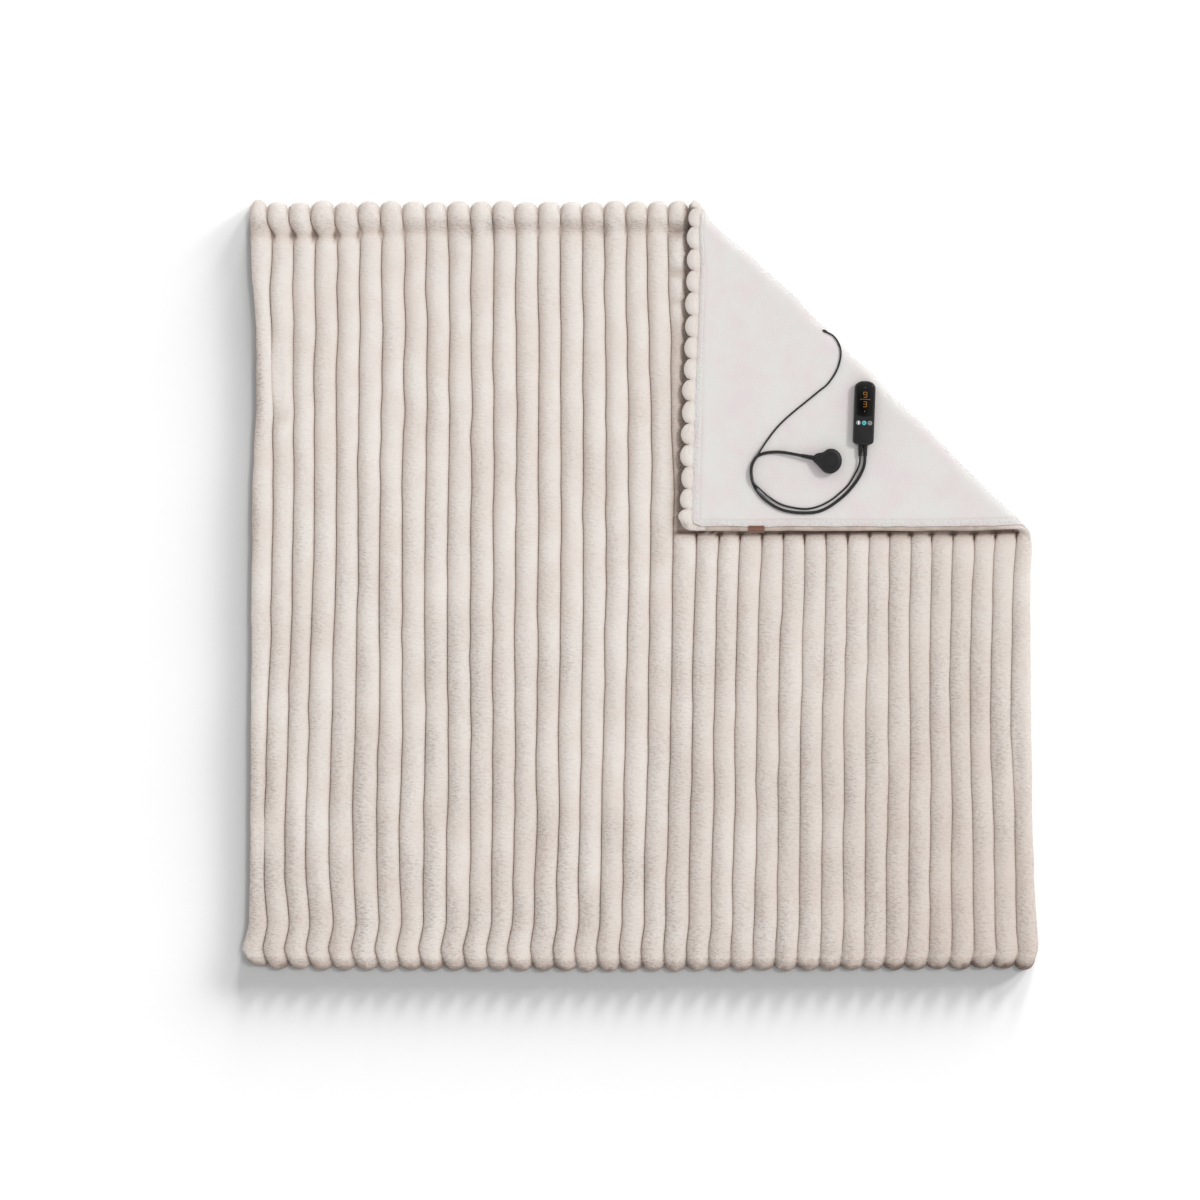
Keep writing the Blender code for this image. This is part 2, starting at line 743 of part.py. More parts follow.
def plug_frame():
    return Matrix.Translation((*PLUG_CENTRE, FLAP_TOP)) @ Matrix.Rotation(PLUG_TURN, 4, "Z")


def plug_outline():
    """Plan of the plug: an oval head, and a neck that is fuller on its upper side."""
    first, last = math.radians(-128), math.radians(122)
    arc = []
    for step in range(19):
        angle = first + (last - first) * step / 18
        arc.append((PLUG_HALF_LENGTH * math.cos(angle), PLUG_HALF_WIDTH * math.sin(angle)))
    return arc + list(UPPER_NECK) + list(LOWER_NECK)


def build_plug(finish):
    bm = bmesh.new()
    rings = []
    for level, drawn in PLUG_LEVELS:
        ring = []
        for x, y in plug_outline():
            spine = min(max(x, PLUG_NECK_END + 0.004), 0.0)
            lowness = 1.0 - (1.0 - PLUG_NECK_LOW) * between(-0.014, PLUG_NECK_END, x)
            z = PLUG_AXIS + (PLUG_HEIGHT * level - PLUG_AXIS) * lowness
            x_in = x + (spine - x) * drawn if x > PLUG_NECK_END else x
            ring.append((x_in, y * (1.0 - drawn), z))
        rings.append(ring)
    ring_solid(bm, rings)
    add_object("plug_body", bm, finish, 40.0).matrix_world = plug_frame()
    start = plug_frame() @ Vector((PLUG_NECK_END - GAP, 0.0, PLUG_AXIS))
    back = plug_frame().to_3x3() @ Vector((-1.0, 0.0, 0.0))
    profile = relief_profile(PLUG_RELIEF_LENGTH, PLUG_RELIEF_ROOT, MAINS_RADIUS + 0.0009)
    turned("plug_relief", profile, start, back, finish)


def plug_lead_end():
    """The mains lead's last two points, straight into the plug's strain relief."""
    reach = PLUG_NECK_END - GAP - PLUG_RELIEF_LENGTH - GAP
    return tuple(tuple(plug_frame() @ Vector((reach - step, 0.0, PLUG_AXIS)))
                 for step in (LEAD_STRAIGHT, 0.0))


def smooth_route(points, step):
    """Points at even steps along a smooth curve through the route's own points."""
    pins = [Vector(point) for point in points]
    pins = [pins[0] * 2 - pins[1]] + pins + [pins[-1] * 2 - pins[-2]]
    dense = []
    for a, b, c, d in zip(pins, pins[1:], pins[2:], pins[3:]):
        for part in np.linspace(0.0, 1.0, 24, endpoint=False):
            dense.append(0.5 * (2 * b + (c - a) * part + (2 * a - 5 * b + 4 * c - d) * part ** 2
                                + (3 * b - a - 3 * c + d) * part ** 3))
    dense.append(pins[-2])
    lengths = [0.0]
    for a, b in zip(dense, dense[1:]):
        lengths.append(lengths[-1] + (b - a).length)
    count = max(int(round(lengths[-1] / step)), 2)
    places = np.linspace(0.0, lengths[-1], count + 1)
    axes = [np.interp(places, lengths, [point[axis] for point in dense]) for axis in range(3)]
    return list(zip(*axes))


def build_lead(name, route, radius, step, finish):
    """A lead as a bevelled curve with filled ends."""
    curve = bpy.data.curves.new(name, "CURVE")
    curve.dimensions = "3D"
    curve.bevel_depth = radius
    curve.bevel_resolution = 2
    curve.use_fill_caps = True
    points = smooth_route(route, step)
    spline = curve.splines.new("POLY")
    spline.points.add(len(points) - 1)
    for target, place in zip(spline.points, points):
        target.co = (*place, 1.0)
    curve.materials.append(finish)
    made = bpy.data.objects.new(name, curve)
    bpy.context.collection.objects.link(made)


def build_outlet(finish):
    """The small moulded sleeve in the fold that the thin lead comes out of."""
    first, second = Vector(THIN_ROUTE[0]), Vector(THIN_ROUTE[1])
    way = (first - second).normalized()
    profile = ((0.0, OUTLET_RADIUS * 0.86), (0.0010, OUTLET_RADIUS),
               (OUTLET_LENGTH * 0.6, OUTLET_RADIUS), (OUTLET_LENGTH * 0.9, OUTLET_RADIUS * 0.8),
               (OUTLET_LENGTH, OUTLET_RADIUS * 0.45))
    turned("cord_outlet", profile, first + way * GAP, way, finish)


def build_label(finish):
    """A small woven label that comes out of the flap's front seam and turns down."""
    edge = FLAP_CORNER[1] + 0.0012
    under = ((edge + 0.0076, FOLD_HEIGHT - 0.0009), (edge + 0.0055, FOLD_HEIGHT + 0.0001),
             (edge + 0.0020, FOLD_HEIGHT - 0.0036), (edge - 0.0012, FOLD_HEIGHT - 0.0072))
    over = []
    for number, (y, z) in enumerate(under):
        before = under[max(number - 1, 0)]
        after = under[min(number + 1, len(under) - 1)]
        way = Vector((after[0] - before[0], after[1] - before[1])).normalized()
        over.append((y + way.y * LABEL_THICK, z - way.x * LABEL_THICK))
    section = list(under) + over[::-1]
    bm = bmesh.new()
    ends = (LABEL_X - LABEL_WIDTH / 2, LABEL_X + LABEL_WIDTH / 2)
    ring_solid(bm, [[(x, y, z) for y, z in section] for x in ends])
    add_object("edge_label", bm, finish)


def main():
    clear_scene()
    rib_plush = material("rib_plush", (0.69, 0.62, 0.57), 0.95)
    back_plush = material("back_plush", (0.74, 0.69, 0.68), 0.9)
    label_weave = material("label_weave", (0.22, 0.13, 0.09), 0.8)
    shell = material("handset_shell", (0.035, 0.035, 0.034), 0.35)
    glass = material("lens_gloss", (0.006, 0.006, 0.006), 0.08)
    keys = material("key_plastic", (0.32, 0.34, 0.36), 0.4)
    lead_jacket = material("lead_jacket", (0.02, 0.02, 0.02), 0.5)
    rubber = material("moulded_black", (0.03, 0.03, 0.03), 0.6)

    build_face(rib_plush)
    build_back(back_plush)
    build_label(label_weave)
    build_handset(shell, glass, keys)
    build_reliefs(rubber)
    build_outlet(rubber)
    build_plug(rubber)
    thin = THIN_ROUTE + relief_end(-1)[::-1]
    mains = relief_end(1) + MAINS_ROUTE + plug_lead_end()
    build_lead("thin_lead", thin, THIN_RADIUS, THIN_STEP, lead_jacket)
    build_lead("mains_lead", mains, MAINS_RADIUS, MAINS_STEP, lead_jacket)


main()
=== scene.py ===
# %% [markdown]
# # An electric heated throw, one corner folded over
#
# The throw is two cloths sewn together near their edges: a ribbed plush face and a smooth
# velour back.  One corner is folded over, so the velour shows, and the handset with its leads
# and plug lies on that flap.  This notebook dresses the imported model: each cell makes one piece
# or one finish, and says how and why.

import math
import random

import bmesh
import bpy
import numpy as np
from mathutils import Matrix, Vector


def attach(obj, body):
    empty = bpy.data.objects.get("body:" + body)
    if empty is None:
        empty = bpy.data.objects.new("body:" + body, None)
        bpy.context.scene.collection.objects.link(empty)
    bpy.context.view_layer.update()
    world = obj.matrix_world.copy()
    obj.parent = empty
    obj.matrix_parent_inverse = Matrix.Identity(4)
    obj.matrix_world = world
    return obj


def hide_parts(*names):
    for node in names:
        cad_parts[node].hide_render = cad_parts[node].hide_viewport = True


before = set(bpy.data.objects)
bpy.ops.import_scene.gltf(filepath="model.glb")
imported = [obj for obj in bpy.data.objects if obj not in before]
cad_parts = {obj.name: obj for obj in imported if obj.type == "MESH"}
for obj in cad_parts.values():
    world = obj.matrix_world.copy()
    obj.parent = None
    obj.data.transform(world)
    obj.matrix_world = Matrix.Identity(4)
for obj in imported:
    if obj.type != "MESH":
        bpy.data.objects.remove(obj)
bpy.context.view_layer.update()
bpy.ops.object.select_all(action="DESELECT")

# %% [markdown]
# ## The camera
#
# The throw was photographed from straight above.  A long lens far away keeps the edges parallel,
# as in the picture: the height follows from the lens and from the width that the picture covers.

# %% Camera
FIELD_WIDTH = 2.34                      # metres that the square picture covers
FIELD_CENTRE = (-0.0790, -0.0293)       # the place right under the camera
CLOTH_MIDDLE = 0.015                    # the height at which the picture's width was measured
LENS_MM = 90.0
SENSOR_MM = 36.0
FURTHEST = 60.0                         # nothing further away than this is drawn


def put_in_scene(name, data):
    """A new object with this mesh, curve, light or camera, linked to the scene."""
    made = bpy.data.objects.new(name, data)
    bpy.context.collection.objects.link(made)
    return made


camera_data = bpy.data.cameras.new("overhead_camera")
camera_data.lens = LENS_MM
camera_data.sensor_width = SENSOR_MM
camera_data.clip_end = FURTHEST
camera = put_in_scene("overhead_camera", camera_data)
camera.location = (*FIELD_CENTRE, CLOTH_MIDDLE + FIELD_WIDTH * LENS_MM / SENSOR_MM)
bpy.context.scene.camera = camera
print("camera height", round(camera.location.z, 3))

# %% [markdown]
# ## Colours and nodes
#
# Colours are written as the eye reads them, in sRGB hex, and turned into the linear values that
# the shaders work in.  One small function adds any node: its settings, then its inputs, each of
# them a plain value or a socket to link.

# %% Helpers for materials
def rgb(hex_code):
    """An sRGB hex colour as linear red, green, blue and alpha."""
    parts = [int(hex_code[place:place + 2], 16) / 255 for place in (0, 2, 4)]
    linear = [part / 12.92 if part <= 0.04045 else ((part + 0.055) / 1.055) ** 2.4 for part in parts]
    return (*linear, 1.0)


def add_node(tree, kind, inputs=None, **settings):
    """Add one node, with its settings and with each input set to a value or linked to a socket."""
    made = tree.nodes.new("ShaderNode" + kind)
    for name, value in settings.items():
        setattr(made, name, value)
    for name, value in (inputs or {}).items():
        if isinstance(value, bpy.types.NodeSocket):
            tree.links.new(value, made.inputs[name])
        else:
            made.inputs[name].default_value = value
    return made


def new_material(name, **sockets):
    """A material with one Principled shader whose sockets are set by name."""
    made = bpy.data.materials.new(name)
    made.use_nodes = True
    shader = made.node_tree.nodes["Principled BSDF"]
    for socket, value in sockets.items():
        shader.inputs[socket.replace("_", " ").title().replace("Ior", "IOR")].default_value = value
    return made, made.node_tree, shader


def per_mm(size_mm):
    """The scale of a pattern on Object coordinates whose cells are this many millimetres."""
    return 1000.0 / size_mm


# %% [markdown]
# ## Helpers for modelling
#
# An operator works on all that is selected, so every piece starts from an empty selection, and
# edges are then picked by where they are.  Finished pieces keep their place in the mesh, with
# the object itself at the origin.

# %% Helpers for selecting and for edit mode
def only(piece):
    """Select one object alone and make it the active one."""
    bpy.ops.object.select_all(action="DESELECT")
    piece.select_set(True)
    bpy.context.view_layer.objects.active = piece


def pick_rim(piece, level):
    """In edit mode, select only the edges that lie at this height."""
    mesh = bmesh.from_edit_mesh(piece.data)
    bpy.ops.mesh.select_all(action="DESELECT")
    bpy.ops.mesh.select_mode(type="EDGE")
    for edge in mesh.edges:
        edge.select_set(all(abs(corner.co.z - level) < 1e-6 for corner in edge.verts))
    bmesh.update_edit_mesh(piece.data)


def face_outwards():
    """In edit mode, select the whole piece and turn its faces outwards."""
    bpy.ops.mesh.select_all(action="SELECT")
    bpy.ops.mesh.normals_make_consistent(inside=False)


def draw_up(height):
    """In edit mode, draw a flat shape up by this height and close it."""
    bpy.ops.mesh.select_all(action="SELECT")
    bpy.ops.mesh.extrude_region_move(TRANSFORM_OT_translate={"value": (0, 0, height)})
    face_outwards()


# %% Helpers that start and finish a piece
def piece_of(mesh):
    """The object of a mesh that was built point by point, with its faces turned outwards."""
    piece = put_in_scene(mesh.name, mesh)
    only(piece)
    bpy.ops.object.mode_set(mode="EDIT")
    face_outwards()
    bpy.ops.object.mode_set(mode="OBJECT")
    return piece


def start_circle(name, sides, radius):
    """A flat disc at the origin, from which plates and round pieces are drawn up."""
    bpy.ops.object.select_all(action="DESELECT")
    bpy.ops.mesh.primitive_circle_add(vertices=sides, radius=radius, fill_type="NGON")
    piece = bpy.context.object
    piece.name = piece.data.name = name
    return piece


def plate(name, outline, low, high, round_top=0.0, round_low=0.0, segments=5):
    """A plate with this plan: a disc's points moved to it, drawn up, and its two rims bevelled."""
    piece = start_circle(name, len(outline), 1.0)
    for vertex, (x, y) in zip(piece.data.vertices, outline):
        vertex.co = (x, y, low)
    bpy.ops.object.mode_set(mode="EDIT")
    draw_up(high - low)
    for level, width in ((high, round_top), (low, round_low)):
        if width:
            pick_rim(piece, level)
            bpy.ops.mesh.bevel(offset=width, segments=segments, affect="EDGES")
    bpy.ops.object.mode_set(mode="OBJECT")
    return piece


def turned(name, profile, sides=28):
    """A round piece along Z: a disc drawn up step by step.  The profile is (along, radius)."""
    piece = start_circle(name, sides, profile[0][1])
    bpy.ops.object.mode_set(mode="EDIT")
    bpy.ops.mesh.select_all(action="SELECT")
    start = profile[0][0]
    for (below, wide), (above, narrow) in zip(profile, profile[1:]):
        bpy.ops.mesh.extrude_region_move(TRANSFORM_OT_translate={"value": (0, 0, above - below)})
        share = narrow / wide
        bpy.ops.transform.resize(value=(share, share, 1), center_override=(0, 0, above - start))
    face_outwards()
    bpy.ops.object.mode_set(mode="OBJECT")
    piece.data.transform(Matrix.Translation((0, 0, start)))
    return piece


def finish_piece(piece, finish, place=None, body="throw", stands_for=(), angle=40.0):
    """Put a piece in its place, give it its finish, shade it and hang it on its body."""
    if place is not None:
        piece.data.transform(place)
    piece.data.materials.clear()
    piece.data.materials.append(finish)
    only(piece)
    bpy.ops.object.shade_smooth_by_angle(angle=math.radians(angle))
    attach(piece, body)
    if stands_for:
        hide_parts(*stands_for)
    print(piece.name, "faces:", len(piece.data.polygons))
    return piece


# %% [markdown]
# ## The plush and the velour
#
# The face is a polyester plush: a long, dense, brushed pile on a knitted ground, shorn into
# ribs.  Light sinks into it, so it is very rough, with a soft sheen where the fibres stand
# edge-on.  The pile clumps into tufts some millimetres across, and light is lost between them,
# which a solid surface can't show, so painted shade tints the gaps between tufts and the grooves.
#
# Three attributes of the cloth steer this.  `flat` is where a point was before the cloth was
# folded, so the nap follows the cloth.  `pile` is painted light and shade: how much of its own
# light the pile shows, 1 on a crown, less in a groove and in painted shadows, and below 0 in the
# deep painted shade of the necks, the tips and the crevice by the flap.  `ruffle` says how rough
# the nap stands, and with it how much painted shade lies between the tufts.  The back is a
# velour, the same fibre shorn close.

# %% Pile materials
PATCH_MM = 70.0                         # size of the patches that a hand has brushed
NAP_LEAN = 0.15                         # turn of the tufts, in radians
STILL_STANDS = 0.22                     # relief that is left where the nap lies smooth


def pile_material(name, colour, patch_colour, shade, deep_shade_colour, tuft_mm, tuft_height, gaps, sheen):
    """A pile fabric: tufts in its height, painted shade between them, and patches of a second colour."""
    made, tree, shader = new_material(name, roughness=0.95, sheen_weight=sheen,
                                      sheen_roughness=0.45, specular_ior_level=0.15)
    shader.inputs["Sheen Tint"].default_value = rgb("fff6f0")
    flat = add_node(tree, "Attribute", attribute_name="flat").outputs["Vector"]
    ruffle = add_node(tree, "Attribute", attribute_name="ruffle").outputs["Fac"]
    pile = add_node(tree, "Attribute", attribute_name="pile").outputs["Fac"]
    # Tufts are wider across the rib than along it, and lean a little.
    wide, long = per_mm(tuft_mm[0]), per_mm(tuft_mm[1])
    combed = add_node(tree, "Mapping", {"Vector": flat, "Rotation": (0.0, 0.0, NAP_LEAN),
                                        "Scale": (wide, long, wide)}).outputs["Vector"]
    tufts = add_node(tree, "TexNoise", {"Vector": combed, "Scale": 1.0, "Detail": 3.0,
                                        "Roughness": 0.60}).outputs["Fac"]
    patches = add_node(tree, "TexNoise", {"Vector": flat, "Scale": per_mm(PATCH_MM),
                                          "Detail": 3.0, "Roughness": 0.55}).outputs["Fac"]
    uneven_tone = add_node(tree, "MapRange", {"Value": patches, "From Min": 0.40,
                                          "From Max": 0.62}).outputs["Result"]
    lit_side = add_node(tree, "Mix", {0: uneven_tone, 6: rgb(colour), 7: rgb(patch_colour)},
                        data_type="RGBA").outputs[2]
    # Painted shade: light is lost in the valleys between tufts, the more the rougher the nap stands.
    valley = add_node(tree, "MapRange", {"Value": tufts, "From Min": 0.52, "From Max": 0.34,
                                         "To Max": gaps}).outputs["Result"]
    sunk = add_node(tree, "Math", {0: valley, 1: ruffle}, operation="MULTIPLY").outputs[0]
    # Painted shade in grooves and shadows: the lower `pile`, the nearer to the shade colour.
    foot = add_node(tree, "Math", {0: 1.0, 1: pile}, operation="SUBTRACT").outputs[0]
    shaded = add_node(tree, "Math", {0: sunk, 1: foot}, operation="ADD", use_clamp=True).outputs[0]
    seen = add_node(tree, "Mix", {0: shaded, 6: lit_side, 7: rgb(shade)},
                    data_type="RGBA").outputs[2]
    # Below 0, `pile` paints the deep shade colour, for the darkest painted shadows.
    closed = add_node(tree, "Math", {0: pile, 1: -1.0}, operation="MULTIPLY", use_clamp=True)
    kept = add_node(tree, "Mix", {0: closed.outputs[0], 6: seen, 7: rgb(deep_shade_colour)}, data_type="RGBA")
    tree.links.new(kept.outputs[2], shader.inputs["Base Color"])
    stand = add_node(tree, "Math", {0: ruffle, 1: STILL_STANDS}, operation="ADD").outputs[0]
    height = add_node(tree, "Math", {0: tufts, 1: stand}, operation="MULTIPLY").outputs[0]
    bump = add_node(tree, "Bump", {"Height": height, "Strength": 1.0, "Distance": tuft_height})
    tree.links.new(bump.outputs["Normal"], shader.inputs["Normal"])
    return made


# Brushed polyester: warm grey beige, with a browner painted shade between the fibres and a
# dark brown one for the deepest painted shadows.
polyester_plush = pile_material("polyester_plush_ribbed", "e0dad4", "dcd3cc", "c9bab0", "6a564b",
                                (8.0, 3.4), 0.0048, 0.86, 0.35)
# Shorn close, so its tufts are finer and lower, and its brushed patches are pinker.
polyester_velour = pile_material("polyester_velour_shorn", "d9d7d4", "d9d1d1", "b9aca5", "6a564b",
                                 (4.5, 4.0), 0.0012, 0.16, 0.30)

# %% [markdown]
# ## Sizes of the throw
#
# These are the throw's own sizes, in metres.  Both cloths are made flat and then carried over
# the fold by the same function, so the velour stays nested round the plush.

# %% Sizes of the cloths
GAP = 0.0003                            # between two pieces that lie against each other
BACK_THICK = 0.0020
FACE_BASE = BACK_THICK + GAP            # underside of the plush
GROOVE_THICK = 0.0030                   # height of the plush in its grooves
CROWN_THICK = 0.0175                    # and on the crowns of its ribs
RIM_LIFT = 0.0065                       # how high the rolled edge stands
TUCK_LIFT = 0.0006                      # how far its lowest line stays off the surface

RIB_WIDTHS = [0.0370] + [0.0436] * 20 + [0.0412] * 14 + [0.0340]
RIB_COUNT = len(RIB_WIDTHS)
GROOVES = np.concatenate(([0.0], np.cumsum(RIB_WIDTHS) / sum(RIB_WIDTHS)))
# Where the points of one rib lie across it: closer together beside the grooves.
RIB_PARTS = np.array((0.0, 0.03, 0.075, 0.14, 0.23, 0.34, 0.46, 0.58, 0.70, 0.80, 0.885, 0.955))
RIB_ROUND = 2.05                        # 2 is an ellipse; more is fuller at the sides

SIDES = np.array((
    # y, left x, right x
    (-0.745, -0.7680, 0.7690),
    (-0.712, -0.7800, 0.7770),
    (-0.663, -0.7640, 0.7735),
    (-0.585, -0.7630, 0.7690),
    (-0.429, -0.7615, 0.7645),
    (-0.068, -0.7595, 0.7605),
    (0.195, -0.7575, 0.7605),
    (0.350, -0.7500, 0.7610),
    (0.507, -0.7500, 0.7610),
    (0.585, -0.7575, 0.7610),
    (0.745, -0.7640, 0.7610),
))
BOTTOM_EDGE = -0.7492
BOTTOM_SAG = 0.0040                     # how much lower the bottom edge is in its middle
TOP_EDGE = 0.7488
FLAP_BEGINS = (0.110, 0.150)            # stretch of the top edge over which the flap begins
FLAP_OUT = 0.0225                       # how much further the ribbed end reaches once folded over
CORNER_PULL = 0.0190                    # and how much more at the flap's corner
CORNER_ROUND = 0.0120
SCALLOP = 0.0160                        # depth of the notch between two lobes at a ribbed end
END_SEAM = 0.0205                       # how far in the seam is at a ribbed end
FLAP_SEAM = 0.0060                      # and how much further on the flap
SIDE_SEAM = 0.0076                      # how far in it is at a long side
BACK_INSET = 0.0010                     # the velour stops this far inside the seam
ROLL = 0.0210                           # how far in the roll at a ribbed end reaches its full height

# %% [markdown]
# ## The fold
#
# The corner turns over on a diagonal.  A point past the fold line first runs round a half
# circle, the curl, and then lies upside down on top.  The fold's outer edge isn't straight, so
# the whole neighbourhood of the fold is shifted a little along a short table.

# %% Fold sizes and the function that folds
FOLD_HEIGHT = 0.0310                    # surface to the velour on top of the flap
FOLD_START = np.array((0.1102, 0.7488))
OUTWARD = np.array((1.0, 1.0)) / math.sqrt(2)
ALONG = np.array((1.0, -1.0)) / math.sqrt(2)
CURL_RADIUS = FOLD_HEIGHT / 2
NEUTRAL_RADIUS = CURL_RADIUS - FACE_BASE    # where the cloth is neither stretched nor gathered
CURL_LENGTH = math.pi * NEUTRAL_RADIUS
FOLD_FOOT = FOLD_START - OUTWARD * CURL_RADIUS
FLAP_CORNER = (0.0780, 0.1066)          # where the flap's two free edges meet
FLAP_LEAN = 0.026                       # the left one leans this far to the right for each metre up
PRESSED = 0.68                          # share of its height that pile inside the fold keeps
PRESSED_MOST = 0.0122                   # and the most that it keeps
WAVE_REACH = 0.060                      # how far inside the fold the wave of its edge reaches
WAVE_EASE = 0.030
FOLD_WAVE = np.array((
    # along, outward
    (-0.040, 0.0000), (0.010, 0.0000), (0.055, -0.0100), (0.098, -0.0080), (0.142, -0.0032),
    (0.200, -0.0006), (0.270, 0.0038), (0.318, -0.0004), (0.361, 0.0022), (0.420, -0.0012),
    (0.470, 0.0036), (0.540, -0.0004), (0.620, 0.0034), (0.740, 0.0012), (0.860, 0.0036),
    (0.960, 0.0050),
))


def eased(table, column, value, width):
    """Read a column of a table whose first column rises, with its corners rounded off."""
    fine = np.linspace(table[0, 0] - width, table[-1, 0] + width, 900)
    step = fine[1] - fine[0]
    rough = np.interp(fine, table[:, 0], table[:, column])
    window = np.hanning(max(int(width / step), 3) | 1)
    half = len(window) // 2
    padded = np.pad(rough, half, mode="edge")
    smooth = np.convolve(padded, window / window.sum(), mode="valid")
    return np.interp(value, fine, smooth)


def ramp(low, high, value):
    """0 at low, 1 at high, and smooth between them."""
    share = np.clip((value - low) / (high - low), 0.0, 1.0)
    return share * share * (3.0 - 2.0 * share)


def bell(value, middle, width):
    """1 in the middle, and next to nothing two widths away from it."""
    return np.exp(-((value - middle) / width) ** 2)


def spots(table, x, y):
    """Soft spots added up: each row gives x, y, half width, half length, and how much."""
    return sum(much * bell(x, at_x, half_x) * bell(y, at_y, half_y)
               for at_x, at_y, half_x, half_y, much in table)


def past_fold(points):
    """Distance past the line where the curl begins, and distance along the fold."""
    flat = points[:, :2] - FOLD_FOOT
    return flat @ OUTWARD, flat @ ALONG


def beside_flap(x, y):
    """How far a place on the throw lies to the left of the flap, and how far below it."""
    edge = FLAP_CORNER[0] + FLAP_LEAN * np.maximum(y - FLAP_CORNER[1], 0)
    return np.maximum(edge - x, 0), np.maximum(FLAP_CORNER[1] - y, 0)


def folded(points):
    """Carry points of the flat throw to where they lie: flat, round the curl, or on the flap."""
    past, along = past_fold(points)
    height = points[:, 2]
    angle = np.clip(past / NEUTRAL_RADIUS, 0.0, math.pi)
    curled = (past > 0) & (past < CURL_LENGTH)
    out = np.where(past <= 0, past, CURL_LENGTH - past)
    out = np.where(curled, (CURL_RADIUS - height) * np.sin(angle), out)
    rise = np.where(past <= 0, height, FOLD_HEIGHT - height)
    rise = np.where(curled, CURL_RADIUS - (CURL_RADIUS - height) * np.cos(angle), rise)
    nearness = np.clip(1.0 + out / WAVE_REACH, 0.0, 1.0)
    out = out + eased(FOLD_WAVE, 1, along, WAVE_EASE) * nearness
    plan = FOLD_FOOT + np.outer(out, OUTWARD) + np.outer(along, ALONG)
    return np.column_stack((plan, rise))


# %% [markdown]
# ## Unevenness
#
# Plush is never regular: its ribs wander, swell and dent.  A lattice of random heights, eased
# between its points, gives soft bumps of any size, the same ones on every run.

# %% Soft noise
LATTICE = 256                           # random heights along each side of the lattice
OFF_CENTRE = 100.0                      # cells by which the throw's middle lies inside it


def soft_noise(x, y, cell_x, cell_y, seed):
    """Smooth random heights from -1 to 1, on a lattice with cells of this size."""
    lattice = np.random.default_rng(seed).uniform(-1.0, 1.0, (LATTICE, LATTICE))
    across, up = x / cell_x + OFF_CENTRE, y / cell_y + OFF_CENTRE
    left, low = np.floor(across).astype(int), np.floor(up).astype(int)
    share_x = ramp(0.0, 1.0, across - left)
    share_y = ramp(0.0, 1.0, up - low)
    left, low = left % (LATTICE - 1), low % (LATTICE - 1)
    lower = lattice[low, left] * (1 - share_x) + lattice[low, left + 1] * share_x
    upper = lattice[low + 1, left] * (1 - share_x) + lattice[low + 1, left + 1] * share_x
    return lower * (1 - share_y) + upper * share_y


def layered(table, x, y):
    """Soft noises added up: each row gives how much, cell across, cell along, and seed."""
    return sum(much * soft_noise(x, y, cell_x, cell_y, seed) for much, cell_x, cell_y, seed in table)


# %% Outline of the flat throw
SIDE_EASE = 0.040


def cloth_x(share, y):
    """The place across the cloth, from 0 at its left side to 1 at its right side."""
    left = eased(SIDES, 1, y, SIDE_EASE)
    right = eased(SIDES, 2, y, SIDE_EASE)
    return left + share * (right - left)


def top_edge(share):
    """The height of the top edge, laid out flat, at a place across the cloth."""
    x = SIDES[-1, 1] * (1 - share) + SIDES[-1, 2] * share
    pulled = (x - FOLD_START[0]) / (SIDES[-1, 2] - FOLD_START[0])
    return TOP_EDGE + FLAP_OUT * ramp(*FLAP_BEGINS, x) + CORNER_PULL * np.maximum(pulled, 0.0)


def bottom_edge(share):
    """The height of the bottom edge at a place across the cloth."""
    return BOTTOM_EDGE - BOTTOM_SAG * np.sin(math.pi * share)


print("flat throw", round(float(cloth_x(1.0, 0.0) - cloth_x(0.0, 0.0)), 3), "m across the middle")


# %% [markdown]
# ## The ribbed plush face
#
# The face starts as one fine grid, a column of points for each place across a rib and a row for
# each place along it.  Each point gets its height from the rib's round section, the swelling at
# the two ribbed ends and the soft noise.  The grid's border is then rolled under to the seam,
# the underside is closed, and the whole is folded.

# %% How the grooves lean and stray
# The cloth lies slightly askew, so whole groups of ribs lean together.  Each row gives, at one
# height, how many millimetres the grooves of these numbers lie to the right of even spacing.
LEAN_GROOVES = (0, 1, 3, 6, 10, 14, 18, 20, 22, 26, 30, 35, 36)
LEAN = np.array((
    # y, then millimetres
    (-0.745, 0, 2, -3, -2, -6, -11, -16, -17, -17, -12, -9, -4, 0),
    (-0.692, 0, 2, -4, -2, -6, -12, -17, -18, -18, -12, -9, -5, 0),
    (-0.575, 0, -11, -15, -7, -4, -10, -13, -14, -15, -8, -3, -3, 0),
    (-0.458, 0, -8, -17, -9, -2, -4, -9, -10, -10, -3, 1, -2, 0),
    (-0.283, 0, -5, -10, -6, 0, -3, -5, -6, -7, -1, 3, -6, 0),
    (-0.107, 0, 2, -8, -6, -1, -1, -2, -2, -3, 3, 4, -1, 0),
    (0.068, 0, 0, -4, -4, -3, -1, 2, 3, 3, 6, 9, 4, 0),
    (0.185, 0, 4, -3, -4, -2, -1, 3, 2, 3, 5, 8, 4, 0),
    (0.302, 0, -2, -8, -7, -6, -3, -2, -8, 0, 3, 5, 3, 0),
    (0.419, 0, -5, -9, -10, -7, -5, -6, -10, -8, 0, 2, 2, 0),
    (0.536, 0, -5, -5, -6, -4, -4, -8, -11, -14, -8, -5, -4, 0),
    (0.653, 0, 3, 1, 0, 2, 0, -5, -11, -20, -14, -10, -8, 0),
    (0.745, 0, 1, 0, 0, 0, 0, -2, -11, -22, -15, -10, -8, 0),
))
LEAN_STEP = 0.010
LEAN_EASE = 0.060
GATHER = 0.0065                         # the first lobes are drawn to the left by this much
GATHER_FROM = (0.684, 0.712)            # over this stretch of the height
WAVER = 0.0016                          # long waves of each groove
WAVER_LENGTHS = (0.71, 0.31)
WANDER = 0.0013                         # short wander of each groove
EDGE_WANDER = 0.0011                    # unevenness of the two long sides
WANDER_CELL = 0.37                      # in grooves: under one, so neighbours wander apart

